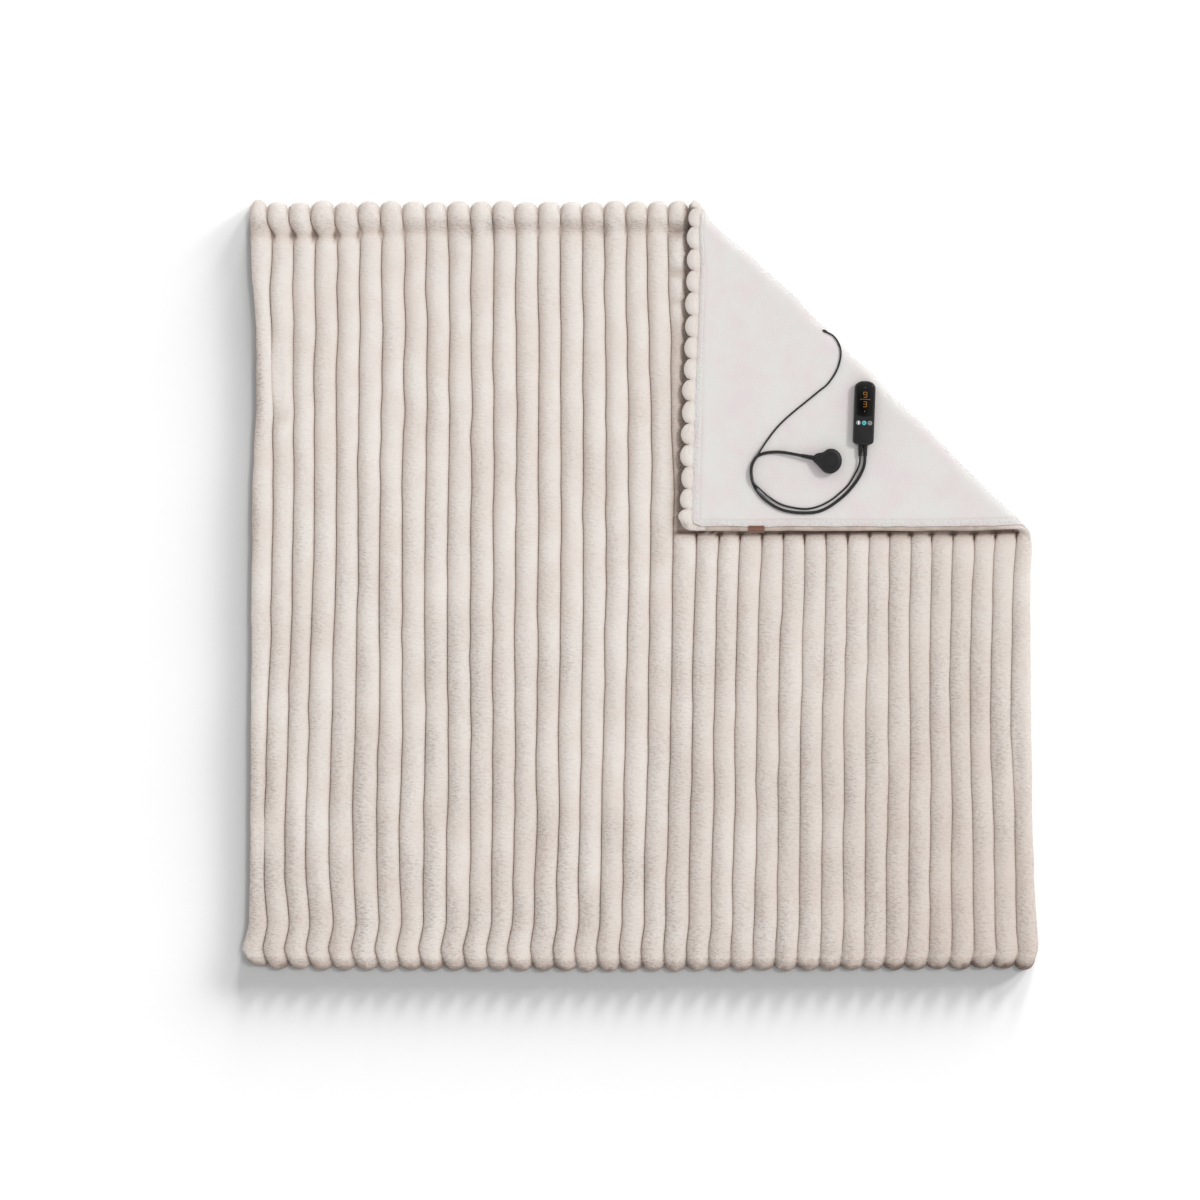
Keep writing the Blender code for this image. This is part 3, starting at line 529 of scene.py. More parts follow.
chance = random.Random(7)
WAVER_PHASES = np.array([(0.55 * k + chance.uniform(-0.9, 0.9), chance.uniform(0, math.tau))
                         for k in range(RIB_COUNT + 1)])
HEIGHT_PHASES = np.array([chance.uniform(0, math.tau) for _ in range(RIB_COUNT)])


def lean_field():
    """The lean of every groove at even heights, in metres."""
    heights = np.arange(LEAN[0, 0], LEAN[-1, 0] + LEAN_STEP, LEAN_STEP)
    columns = [eased(LEAN, place + 1, heights, LEAN_EASE) for place in range(len(LEAN_GROOVES))]
    grooves = np.arange(RIB_COUNT + 1)
    return np.array([np.interp(grooves, LEAN_GROOVES, row) for row in np.transpose(columns)]) / 1000


LEAN_FIELD = lean_field()


def groove_stray(groove, y):
    """How far a groove lies from even spacing at a height: lean, long waves and short wander."""
    at = np.clip((y - LEAN[0, 0]) / LEAN_STEP, 0, len(LEAN_FIELD) - 1.001)
    row = at.astype(int)
    lean = LEAN_FIELD[row, groove] * (1 - at + row) + LEAN_FIELD[row + 1, groove] * (at - row)
    phases = WAVER_PHASES[groove]
    long_wave = np.sin(math.tau * y / WAVER_LENGTHS[0] + phases[..., 0])
    short_wave = np.sin(math.tau * y / WAVER_LENGTHS[1] + phases[..., 1])
    wander, edge, nick = (soft_noise(groove, y, WANDER_CELL, cell, seed)
                          for cell, seed in ((0.048, 79), (0.030, 61), (0.010, 41)))
    inside = (groove > 0) & (groove < RIB_COUNT)
    gather = GATHER * bell(groove, 1.5, 3.0) * ramp(*GATHER_FROM, y)
    stray = lean + WAVER * (0.65 * long_wave + 0.35 * short_wave) + WANDER * wander - gather
    return np.where(inside, stray, EDGE_WANDER * (0.7 * edge + 0.3 * nick))


# %% Where the grid's points lie
END_ROW, MIDDLE_ROW = 0.0034, 0.0084    # spacing of the rows near the ends and between them
END_REACH = (0.048, 0.078)              # how far in the close rows go, at the bottom and the top


def rib_grid():
    """Flat places of the grid: rib, part of the rib, y, and the distances from both ends."""
    rib = np.append(np.repeat(np.arange(RIB_COUNT), len(RIB_PARTS)), RIB_COUNT - 1)
    part = np.append(np.tile(RIB_PARTS, RIB_COUNT), 1.0)
    share = GROOVES[rib] + part * (GROOVES[rib + 1] - GROOVES[rib])
    low, high = bottom_edge(share), top_edge(share)
    close_low = np.arange(0.0, END_REACH[0], END_ROW)
    close_high = np.arange(0.0, END_REACH[1], END_ROW)[::-1]
    middle = np.linspace(0, 1, int((TOP_EDGE - BOTTOM_EDGE - sum(END_REACH)) / MIDDLE_ROW))[1:-1]
    rows = [low + step for step in close_low]
    first, last = low + END_REACH[0], high - END_REACH[1]
    rows += [first + (last - first) * at for at in middle]
    rows += [high - step for step in close_high]
    y = np.array(rows)
    return rib, part, share, y, y - low, high - y


rib, part, share, flat_y, from_low, from_high = rib_grid()
row_count, column_count = flat_y.shape
ribs = np.broadcast_to(rib, flat_y.shape)
from_end = np.minimum(from_low, from_high)
print("plush grid", row_count, "rows by", column_count, "columns")

# %% [markdown]
# A rib's section is nearly half an ellipse.  Each rib ends in a lobe.  Below the top lobes a
# cross crease pinches each rib and opens the groove beside it, most of all at the left.  A few
# listed dents follow the most uneven places, and so do the two stretches where the groove
# beside the first rib is nearly filled.

# %% The lobes and creases at the ends of the ribs
def each_rib(middle, spread):
    """One value for each rib, spread by chance round a middle."""
    return np.array([middle + spread * chance.uniform(-1, 1) for _ in range(RIB_COUNT)])


gathered = bell(np.arange(RIB_COUNT), 2.3, 3.2)     # the creases are deepest at the left
CREASE_AT = each_rib(0.058, 0.004) + 0.010 * gathered      # from the top end to its cross crease
CREASE_DEEP = each_rib(0.15, 0.06) + 0.24 * gathered       # share of the rib's height
CREASE_PINCH = each_rib(0.10, 0.040) + 0.20 * gathered     # share of the rib's width
CREASE_DEEP[0], CREASE_PINCH[0] = 0.10, 0.04
LOBE_SWELL = each_rib(0.08, 0.05)       # how much fuller each lobe is
LOBE_OUT = each_rib(0.0, 0.0026)        # and how much further out it reaches
LOBE_OUT[0] += 0.0040
CREASE_HALF = 0.0125
LOW_CREASE_AT, LOW_CREASE_HALF = 0.031, 0.008       # the fainter crease at the bottom end
LOW_CREASE_DEEP, LOW_CREASE_PINCH = 0.09, 0.06
TIP_PINCH, TIP_REACH = 0.20, 0.036      # a rib is this much narrower at its tip
END_LOBE = 0.040                        # how far in the lobes reach
LOBE_SWELL_AT, LOBE_SWELL_HALF = 0.027, 0.015
LOW_SCALLOP, LOW_LOBE_OUT = 0.68, 0.6   # the bottom's notches and lobes, as a share of the top's
FLAP_SHALLOWER = 0.25                   # how much shallower the notches are on the flap
FULL_CORNER = 0.2                       # share of the rounding at the three corners that lie open
FIRST_LOBE_IN = 0.0090                  # how far the first lobe at the bottom is drawn in

# %% Swells, dents and filled grooves
UNEVEN, UNEVEN_LENGTH = 0.035, 0.43     # long swells of each rib
SWELLS = ((0.050, 0.034, 0.085, 5), (0.030, 0.016, 0.028, 6))
LUMPS = ((0.0013, 0.011, 0.011, 8),)    # below the top lobes only
LUMPS_AT, LUMPS_HALF = 0.045, 0.020
TUFTED = ((0.0005, 0.0085, 0.0085, 9),)
FULLER = 0.0036                         # the pile fills the grooves more towards the right
RIM_THIN = 0.0020                       # height of the rim's outermost line between two ribs
RIM_FULL = 0.9                          # share of RIM_LIFT that the rim keeps at the long sides
DENTS = (
    # x, y, half width across, half length along, depth
    (-0.701, 0.330, 0.020, 0.0075, 0.0080),
    (-0.703, 0.400, 0.020, 0.0620, 0.0035),
    (-0.677, 0.450, 0.0075, 0.110, 0.0050),
    (-0.745, -0.560, 0.010, 0.110, 0.0045),
    (-0.640, -0.600, 0.012, 0.018, 0.0030),
    (-0.520, -0.665, 0.014, 0.014, 0.0032),
    (-0.305, -0.668, 0.012, 0.012, 0.0032),
    (0.560, 0.060, 0.012, 0.030, 0.0026),
    (0.735, -0.330, 0.010, 0.120, 0.0045),
    (0.640, -0.190, 0.014, 0.020, 0.0028),
    (0.300, -0.480, 0.014, 0.025, 0.0024),
    (-0.150, 0.250, 0.014, 0.030, 0.0022),
    (0.050, -0.140, 0.012, 0.022, 0.0024),
    (0.072, 0.690, 0.024, 0.012, 0.0075),
    (0.072, 0.605, 0.024, 0.009, 0.0080),
    (0.072, 0.551, 0.024, 0.007, 0.0045),
    (0.070, 0.632, 0.016, 0.012, -0.0040),
    (0.070, 0.575, 0.016, 0.014, -0.0035),
)
FILLED_GROOVES = (
    # groove, y, half length, share of the depth
    (1, 0.405, 0.070, 0.75),
    (1, -0.487, 0.045, 0.55),
)


# %% Plan of the plush before it is folded
def plush_plan():
    """Where each point of the grid lies, with round corners and a lobe at each end of a rib."""
    left = cloth_x(GROOVES[ribs], flat_y) + groove_stray(ribs, flat_y)
    right = cloth_x(GROOVES[ribs + 1], flat_y) + groove_stray(ribs + 1, flat_y)
    x = left + part * (right - left)
    inward = np.clip(CORNER_ROUND - from_end, 0.0, CORNER_ROUND)
    rounding = CORNER_ROUND - np.sqrt(CORNER_ROUND ** 2 - inward ** 2)
    rounding = rounding * (1 - ramp(0.0, 0.03, np.minimum(share, 1 - share)))
    # Only the flap's corner is drawn in so far; the lobes at the others are full and round.
    rounding = rounding * np.where((share > 0.5) & (from_high < from_low), 1.0, FULL_CORNER)
    x = x + np.where(share < 0.5, rounding, -rounding)
    lobe = np.sqrt(1 - (2 * part - 1) ** 2)
    reach_low = np.clip(1 - from_low / END_LOBE, 0.0, 1.0)
    reach_high = np.clip(1 - from_high / END_LOBE, 0.0, 1.0)
    low_out = LOW_LOBE_OUT * LOBE_OUT[ribs[:, ::-1]]
    y = flat_y + (LOW_SCALLOP * SCALLOP * (1 - lobe) - low_out * lobe) * reach_low
    y = y + FIRST_LOBE_IN * (ribs == 0) * ramp(1.0, 0.6, part) * reach_low
    notch = SCALLOP * (1 - FLAP_SHALLOWER * ramp(*FLAP_BEGINS, x))
    y = y - (notch * (1 - lobe) - LOBE_OUT[ribs] * lobe) * reach_high
    return x, y


plush_x, plush_y = plush_plan()

# %% Heights of the plush before it is folded
def crowns(x, y, crease, low_crease):
    """How high the crown of the rib stands at each place."""
    swell = 1 + UNEVEN * np.sin(math.tau * y / UNEVEN_LENGTH + HEIGHT_PHASES[ribs])
    swell = swell + layered(SWELLS, x, y)
    swell = swell + LOBE_SWELL[ribs] * bell(from_high, LOBE_SWELL_AT, LOBE_SWELL_HALF)
    swell = swell - CREASE_DEEP[ribs] * crease - LOW_CREASE_DEEP * low_crease
    lumps = layered(LUMPS, x, y) * bell(from_high, LUMPS_AT, LUMPS_HALF)
    return CROWN_THICK * swell + lumps - spots(DENTS, x, y)


def groove_feet(x, y, crown):
    """How high the foot of the groove, or of the rolled edge, stands at each place."""
    foot = GROOVE_THICK + FULLER * (0.28 + ramp(-0.05, 0.50, x))
    for groove, at, half, filled in FILLED_GROOVES:
        beside = (ribs == groove) & (part < 0.5) | (ribs == groove - 1) & (part > 0.5)
        foot += beside * filled * (crown - GROOVE_THICK) * np.exp(-((y - at) / half) ** 4)
    foot[:, (rib == 0) & (part < 0.5)] = RIM_LIFT
    foot[:, (rib == RIB_COUNT - 1) & (part > 0.5)] = RIM_LIFT
    return foot


def plush_heights(x, y):
    """How high each point stands above the plush's underside, and the share of its rib's height."""
    crease = bell(from_high, CREASE_AT[ribs], CREASE_HALF)
    low_crease = bell(from_low, LOW_CREASE_AT, LOW_CREASE_HALF)
    # Where a rib is pinched, and at its very tip, its section is narrower and the groove wider.
    narrow = CREASE_PINCH[ribs] * crease + LOW_CREASE_PINCH * low_crease
    narrow = 1 - np.maximum(narrow, TIP_PINCH * ramp(TIP_REACH, 0.0, from_end))
    section = (1 - np.clip(np.abs(2 * part - 1) / narrow, 0, 1) ** RIB_ROUND) ** 0.5
    crown = crowns(x, y, crease, low_crease)
    foot = groove_feet(x, y, crown)
    z = foot + (crown - foot) * section + section * layered(TUFTED, x, y)
    # The roll at each ribbed end rises from the outermost line as a quarter of an ellipse.
    rise = np.sqrt(1 - (1 - np.clip(from_end / ROLL, 0, 1)) ** 2)
    rim = RIM_THIN + (RIM_LIFT - RIM_THIN) * np.maximum(section, (foot == RIM_LIFT) * RIM_FULL)
    return np.where(from_end < ROLL, rim + (z - rim) * rise, z), section


plush_z, section = plush_heights(plush_x, plush_y)
surface = np.stack((plush_x, plush_y, FACE_BASE + plush_z), axis=-1)
print("plush before folding, highest", round(float(surface[..., 2].max()) * 1000, 1), "mm")

# %% [markdown]
# The nap isn't the same all over.  It stands roughest on the lobes, along the left edge and on
# the left flanks towards the bottom, and the pile is darker towards the lower right.  Painted
# shade darkens the left flanks, the pinched necks of the lobes, the bottom tips and the crevice
# along the flap, where the flap casts its shadow; a few spots get painted light or shade.

# %% Rough places, and spots of painted light and shade
RUFFLED_LOBE = each_rib(0.60, 0.40)
RUFFLES = (
    # x, y, half width, half length, how much rougher the nap stands
    (-0.746, 0.385, 0.011, 0.085, 1.5),
    (-0.752, 0.130, 0.008, 0.060, 1.2),
    (-0.745, -0.620, 0.020, 0.090, 0.5),
    (-0.330, 0.688, 0.012, 0.014, 1.1),
    (-0.286, 0.700, 0.011, 0.020, 1.3),
    (-0.068, 0.690, 0.011, 0.012, 1.3),
    (0.074, 0.690, 0.016, 0.012, 1.6),
    (0.700, -0.330, 0.012, 0.070, 0.7),
)
PAINTED_LIGHT_SPOTS = (
    # x, y, half width, half length, and how much painted light (more) or painted shade (less)
    (0.068, 0.722, 0.012, 0.012, 0.60),
    (0.073, 0.690, 0.018, 0.014, -0.95),
    (0.067, 0.634, 0.012, 0.010, 0.85),
    (0.073, 0.609, 0.018, 0.009, -0.80),
    (0.066, 0.578, 0.012, 0.014, 0.75),
    (0.073, 0.552, 0.018, 0.006, -0.45),
    (0.066, 0.528, 0.012, 0.014, 0.40),
    (0.073, 0.470, 0.014, 0.060, -0.30),
    (-0.703, 0.400, 0.016, 0.060, 0.20),
    (-0.699, 0.322, 0.018, 0.006, -0.70),
)

# %% How rough the nap stands
def roughness(x, y, under_flap):
    """Rougher towards the bottom, on the left flanks, below the top lobes and at the bottom tips."""
    rough = np.interp(y, (-0.75, -0.45, 0.0, 0.35, 0.75), (0.85, 0.72, 0.48, 0.30, 0.24))
    rough = rough * (1.0 + 0.55 * soft_noise(x, y, 0.045, 0.080, 21))
    rough = rough * np.interp(part, (0.0, 0.10, 0.35, 0.60, 0.9, 1.0), (1.0, 1.25, 1.15, 0.60, 0.5, 0.8))
    rough = rough + RUFFLED_LOBE[rib] * bell(from_high, 0.046, 0.015)
    rough = rough + 1.00 * (1 - ramp(0.012, 0.030, from_low))
    return np.clip(rough + spots(RUFFLES, x, y) + 0.5 * under_flap, 0.05, 2.2)


# %% Painted light and shade: how much of its own light the pile shows
# Strengths of the deep painted shade in the necks, in the crevice by the flap and at the tips.
NECK_SHADOW, CREVICE_SHADOW, TIP_SHADE = 0.95, 1.90, 0.78


def painted_light_and_shade(x, y, under_flap, further_down):
    """How much light the pile shows: darker to the lower right, with painted light and shade."""
    # Darker towards the lower right, and in soft patches.
    uneven_tone = 0.03 + 0.17 * ramp(0.2, -0.75, y) + 0.20 * ramp(-0.05, 0.55, x)
    uneven_tone = uneven_tone + 0.21 * ramp(0.25, 0.78, x) * ramp(-0.15, -0.70, y)
    uneven_tone = uneven_tone + 0.08 * soft_noise(x, y, 0.050, 0.110, 22) * (1 + ramp(0.2, -0.5, y))
    # Painted shade on the left flanks, which face away from the light.
    left_flank_shade = ramp(0.50, 0.05, part) * (0.05 + 0.35 * ramp(-0.4, 0.4, y)) * ramp(0.50, -0.10, x)
    # Painted shade below the lobes, in their creases and at the bottom tips, where the pile turns down.
    lobe_shade = 0.42 * RUFFLED_LOBE[rib] * bell(from_high, 0.052, 0.014)
    lobe_shade = lobe_shade + 0.60 * gathered[rib] * bell(from_high, CREASE_AT[rib], 0.007)
    lobe_shade = lobe_shade + 0.60 * (1 - ramp(0.002, 0.026, from_low))
    # Painted shadow that the flap casts beside and below it.
    flap_shade = (0.60 + 0.25 * further_down) * under_flap
    return 1 - uneven_tone - left_flank_shade - lobe_shade - flap_shade + spots(PAINTED_LIGHT_SPOTS, x, y)


def painted_deep_shade(x, y, wide, unfolded):
    """Painted deep shade in the lobes' necks, at the bottom tips and in the crevice below the flap."""
    # Painted shadow in the pinched necks below the top lobes.
    neck = gathered[rib] * bell(from_high, CREASE_AT[rib] - 0.006, 0.016)
    closed = NECK_SHADOW * neck * ramp(0.80, 0.10, section)
    # Painted shade at the bottom tips, where the pile turns down.
    uneven = 0.008 * soft_noise(x, y, 0.010, 0.010, 42)
    closed = closed + TIP_SHADE * (1 - ramp(0.000, 0.019, from_low - uneven))
    # The crevice's painted shadow below the flap reaches further down each groove than down the crowns.
    beside_x, beside_y = beside_flap(x, y)
    down_groove = 0.019 * (1 - ramp(0.0, 0.95, section)) * (1 + 0.5 * soft_noise(x, y, 0.014, 0.014, 43))
    reach = np.maximum(beside_y - down_groove, 0)
    crevice = bell(beside_x, 0, 0.4 * wide + 0.003) * bell(reach, 0, 0.0070) * unfolded
    return closed + CREVICE_SHADOW * crevice * (0.25 + 0.75 * ramp(0.0, 0.004, beside_y))


def nap(x, y):
    """How rough the nap stands, and the painted light and shade of each place of the pile."""
    unfolded = past_fold(surface.reshape(-1, 3))[0].reshape(x.shape) < 0
    # The flap's painted shadow beside it is narrow at the top and as wide as a rib's flank further down.
    further_down = ramp(0.55, 0.25, y)
    wide = 0.009 + 0.011 * further_down
    beside_x, beside_y = beside_flap(x, y)
    under_flap = unfolded * bell(beside_x, 0, wide) * bell(beside_y, 0, 0.013)
    # Painted shade in the grooves: the pile is fuller towards the right, so the grooves there get less.
    full = 0.30 + 0.65 * ramp(-0.10, 0.50, x)
    own_light = full + (1 - full) * ramp(0.0, 0.50, section)
    shown = painted_light_and_shade(x, y, under_flap, further_down)
    shown = np.where(shown > 0, np.minimum(shown, 1) * own_light, shown)
    shown = np.clip(shown - painted_deep_shade(x, y, wide, unfolded), -1, 1)
    return roughness(x, y, under_flap), shown


ruffle, pile = nap(plush_x, plush_y)
print("nap: roughest", round(float(ruffle.max()), 2), "smoothest", round(float(ruffle.min()), 2))

# %% [markdown]
# The border runs round the grid once.  Each of its points is carried under, towards the seam:
# down to the lowest line of the roll and then in.  On the flap that underside faces up, and there
# the lobes puff out, since nothing presses on them.

# %% Border, underside and fold
RIM_STEPS = np.array((
    # share of the way to the seam, the same on a puffed lobe, height, height of a puffed lobe
    (0.06, -0.04, 0.0038, 0.0044),
    (0.20, 0.08, 0.0015, 0.0004),
    (0.45, 0.32, TUCK_LIFT, -0.0036),
    (0.72, 0.62, TUCK_LIFT + 0.0003, -0.0026),
    (1.00, 1.00, FACE_BASE, FACE_BASE),
))
LABEL_FROM, LABEL_TO = 0.6185, 0.6495   # stretch of the side edge that the label covers
LABEL_EASE = 0.006
LABEL_PRESS = 0.0022                    # how far the label presses the rim
# The rolled rim's painted shade: it keeps this share of its own light.
RIM_LIGHT = 0.75                        # how much of its own light the rolled rim shows


def border_loop():
    """Grid places of the border, anticlockwise: bottom, right, top, left."""
    last_row, last_column = row_count - 1, column_count - 1
    loop = [(0, column) for column in range(last_column)]
    loop += [(row, last_column) for row in range(last_row)]
    loop += [(last_row, column) for column in range(last_column, 0, -1)]
    loop += [(row, 0) for row in range(last_row, 0, -1)]
    return tuple(np.array(loop).T)


def seam_target(points):
    """The nearest place on the seam, which is straight along the ends and the sides."""
    shares = (points[:, 0] - SIDES[-1, 1]) / (SIDES[-1, 2] - SIDES[-1, 1])
    shares = np.clip(shares, 0.0, 1.0)
    low = bottom_edge(shares) + END_SEAM
    high = top_edge(shares) - END_SEAM - FLAP_SEAM * ramp(*FLAP_BEGINS, points[:, 0])
    y = np.clip(points[:, 1], low, high)
    left, right = cloth_x(0.0, y) + SIDE_SEAM, cloth_x(1.0, y) - SIDE_SEAM
    return np.column_stack((np.clip(points[:, 0], left, right), y))


def under_label(points):
    """1 at the places of the rim that the label covers, and 0 elsewhere."""
    along_side = points[:, 1]
    past_start = ramp(LABEL_FROM - LABEL_EASE, LABEL_FROM, along_side)
    before_end = ramp(LABEL_TO + LABEL_EASE, LABEL_TO, along_side)
    return (points[:, 0] > 0.7) * past_start * before_end


def rim_light(points, section, on_flap):
    """Painted shade on the rim: how much of its own light it shows, mottled along the flap's long side.
    """
    mottled = soft_noise(points[:, 0], points[:, 1], 0.009, 0.009, 41)
    own_light = RIM_LIGHT + (1 - RIM_LIGHT) * ramp(0.0, 0.45, section)
    long_side = (points[:, 0] > 0.74) & (points[:, 1] < 0.74)
    # Mottled painted shade on the flap's front rim, whose side lies in shade.
    own_light = np.where(long_side, 0.20 * mottled - 0.18, own_light)
    return own_light + (RIM_LIGHT - own_light) * (1 - on_flap)


def press_pile(points):
    """Flatten the pile inside the fold and under the flap."""
    past, _ = past_fold(points)
    beside_x, beside_y = beside_flap(points[:, 0], points[:, 1])
    beside = np.hypot((1.7 + 0.9 * ramp(0.25, 0.50, points[:, 1])) * beside_x, beside_y)
    free = np.where(past < 0, ramp(0.006, 0.036, beside), 0.0)
    trodden = np.where(past < 0, 1 - 0.48 * np.exp(-(beside / 0.011) ** 2), 1.0)
    rise = points[:, 2] - FACE_BASE
    pressed = np.where(rise < GROOVE_THICK, rise, np.minimum(rise * PRESSED, PRESSED_MOST) * trodden)
    pressed = np.maximum(pressed, np.minimum(rise, GROOVE_THICK))
    lowered = np.where(rise > 0, pressed + (rise - pressed) * free, rise)
    return np.column_stack((points[:, :2], FACE_BASE + lowered))


def set_attribute(mesh, name, values):
    """Store one number, or one place, for each point of a mesh."""
    values = np.asarray(values, dtype=np.float32)
    if values.ndim == 2:
        mesh.attributes.new(name, "FLOAT_VECTOR", "POINT").data.foreach_set("vector", values.reshape(-1))
    else:
        mesh.attributes.new(name, "FLOAT", "POINT").data.foreach_set("value", values)


def grid_faces(number, from_below=False):
    """The faces between the numbered points of a grid, anticlockwise as seen from one side."""
    a, b, c, d = number[:-1, :-1], number[:-1, 1:], number[1:, 1:], number[1:, :-1]
    corners = (a, d, c, b) if from_below else (a, b, c, d)
    return np.stack(corners, -1).reshape(-1, 4)


loop = border_loop()
border, border_section = surface[loop], section[loop]
target = seam_target(border)
on_flap = ramp(CURL_LENGTH, CURL_LENGTH + 0.03, past_fold(border)[0])
lobe_share = (on_flap * border_section)[:, None]
number = np.arange(row_count * column_count).reshape(row_count, column_count)
points, faces, seam_ring = [surface.reshape(-1, 3)], [grid_faces(number)], number[loop]
for step, (inward, puffed_inward, low, puffed) in enumerate(RIM_STEPS):
    plan = border[:, :2] + (target - border[:, :2]) * (inward + (puffed_inward - inward) * lobe_share)
    puff = low + (puffed - low) * lobe_share[:, 0]
    puff = puff + LABEL_PRESS * under_label(border) * (step < len(RIM_STEPS) - 1)
    points.append(np.column_stack((plan, puff)))
    outer, seam_ring = seam_ring, number.size + step * len(border) + np.arange(len(border))
    around = (outer, np.roll(outer, -1), np.roll(seam_ring, -1), seam_ring)
    faces.append(np.stack(around, -1)[:, ::-1])

plush_mesh = bpy.data.meshes.new("plush_face")
plush_mesh.from_pydata(np.concatenate(points).tolist(), [], np.concatenate(faces).tolist())
rings = len(RIM_STEPS)
border_light = rim_light(border, border_section, on_flap)
set_attribute(plush_mesh, "pile", np.concatenate([pile.reshape(-1)] + [border_light] * rings))
set_attribute(plush_mesh, "ruffle", np.concatenate([ruffle.reshape(-1)] + [ruffle[loop]] * rings))
print("plush mesh:", len(plush_mesh.vertices), "points,", len(plush_mesh.polygons), "faces")

# %% Close the underside and cut it along the fold
FOLD_CUTS = 8                           # creases round the curl on the hidden underside
WAVE_CUTS, WAVE_LENGTH = 14, 0.92       # and across it, over this length of the fold


def close_underside(mesh):
    """Fill the hidden underside inside the seam and cut it so that it can follow the fold."""
    work = bmesh.new()
    work.from_mesh(mesh)
    work.verts.ensure_lookup_table()
    seam = [work.verts[int(index)] for index in seam_ring]
    bmesh.ops.remove_doubles(work, verts=seam, dist=0.0002)
    rims = [edge for edge in work.edges if edge.is_boundary]
    flat = list(bmesh.ops.contextual_create(work, geom=rims)["faces"])
    cuts = [(FOLD_FOOT + OUTWARD * CURL_LENGTH * at / FOLD_CUTS, OUTWARD)
            for at in range(FOLD_CUTS + 1)]
    cuts += [(FOLD_FOOT + OUTWARD * at, OUTWARD) for at in (-WAVE_REACH, CURL_LENGTH + WAVE_REACH)]
    cuts += [(FOLD_FOOT + ALONG * at, ALONG) for at in np.linspace(0.0, WAVE_LENGTH, WAVE_CUTS)]
    for place, across in cuts:
        edges = {edge for face in flat for edge in face.edges}
        corners = {corner for face in flat for corner in face.verts}
        made = bmesh.ops.bisect_plane(work, geom=[*flat, *edges, *corners], dist=1e-6,
                                      plane_co=(*place, 0.0), plane_no=(*across, 0.0))
        flat = [item for item in made["geom"] if isinstance(item, bmesh.types.BMFace)]
    many = [face for face in work.faces if len(face.verts) > 4]
    bmesh.ops.triangulate(work, faces=many)
    work.to_mesh(mesh)
    work.free()


close_underside(plush_mesh)
places = np.empty(len(plush_mesh.vertices) * 3)
plush_mesh.vertices.foreach_get("co", places)
places = places.reshape(-1, 3)
set_attribute(plush_mesh, "flat", places)
plush_mesh.vertices.foreach_set("co", folded(press_pile(places)).reshape(-1))
plush_face = piece_of(plush_mesh)
finish_piece(plush_face, polyester_plush, stands_for=["face_panel"], angle=80.0)

# %% [markdown]
# ## The velour back
#
# The back is a thin sheet.  Only the flap's side of it shows, so its grid is fine there and
# coarse under the throw.  Its two free edges on the flap are hemmed: the doubled cloth stands up
# as a soft ridge, and the stitch line beside it pulls down a narrow valley.

# %% Sizes of the velour and its hems
EDGE_STEP, OPEN_STEP, COARSE_STEP = 0.0021, 0.0068, 0.055
OPEN_FROM, EDGE_REACH = (0.060, 0.080), 0.044
SHEET_X, SHEET_Y = (-0.76, 0.757), (-0.73, 0.760)
HEM_ROLL = np.array((
    # in from the cloth's edge in hem widths, height
    (0.00, -0.0004), (0.20, 0.0005), (0.50, 0.0011), (0.78, 0.0007), (0.96, -0.0003),
    (1.06, -0.0003), (1.30, 0.0003), (2.20, 0.0002), (3.50, 0.0000), (9.00, 0.0000),
))
# Along the ribbed end the seam wanders: from the fold to the corner of the flap, the cloth's
# edge comes nearer the tips of the lobes and the hem gets wider.
HEM_X = (*FLAP_BEGINS, 0.757)
END_EDGE_IN, END_HEM = (0.0205, 0.0264, 0.0218), (0.0070, 0.0075, 0.0165)
SIDE_HEM = 0.0135
HEM_EASE = 0.12                         # in hem widths
SIDE_IN = SIDE_SEAM + BACK_INSET
SQUARE_CORNER = CORNER_ROUND + SIDE_IN  # the corner's square, inside which it is drawn in
QUARTER_ROUND = 0.29                    # share of that square by which a quarter circle does so
HEM_DRIFT = ((0.07, 0.11, 0.11, 12),)   # the hem's width drifts, in hem widths
PUCKERS = ((0.35, 0.017, 0.017, 14),)   # its roll is higher here and lower there
OPEN_DRIFT = ((0.0005, 0.075, 0.075, 13),)          # soft unevenness of the open velour
EDGE_WAVERS = ((0.0010, 0.026, 0.026, 15), (0.0005, 0.009, 0.009, 16))


# %% Velour sheet
def graded(low, high, open_from):
    """Numbers from 0 to 1 for a stretch of cloth: coarse steps, open cloth, then its edge."""
    size = high - low
    stops = (0.0, (open_from - low) / size, 1 - EDGE_REACH / size, 1.0)
    runs = []
    for first, last, step in zip(stops, stops[1:], (COARSE_STEP, OPEN_STEP, EDGE_STEP)):
        runs.append(np.linspace(first, last, int((last - first) * size / step) + 1, endpoint=False))
    return np.concatenate((*runs, [1.0]))


def velour_plan():
    """Places of the flat velour with round corners, and the height of its upper edge."""
    shares, heights = np.meshgrid(graded(*SHEET_X, OPEN_FROM[0]), graded(*SHEET_Y, OPEN_FROM[1]))
    end_in = np.interp(cloth_x(shares, np.full_like(shares, SIDES[-1, 0])), HEM_X, END_EDGE_IN)
    low, high = bottom_edge(shares) + END_SEAM + BACK_INSET, top_edge(shares) - end_in
    y = low + (high - low) * heights
    x = cloth_x(0.0, y) + SIDE_IN + shares * (cloth_x(1.0, y) - cloth_x(0.0, y) - 2 * SIDE_IN)
    gap_x = np.minimum(x - (cloth_x(0.0, y) + SIDE_IN), cloth_x(1.0, y) - SIDE_IN - x)
    gap_y = np.minimum(y - low, high - y)
    near_x, near_y = (np.clip(1 - gap / SQUARE_CORNER, 0, 1) for gap in (gap_x, gap_y))
    pull = QUARTER_ROUND * SQUARE_CORNER * np.minimum(near_x, near_y)
    x += np.where(shares < 0.5, pull, -pull)
    y += np.where(heights < 0.5, pull, -pull)
    return x, y, high


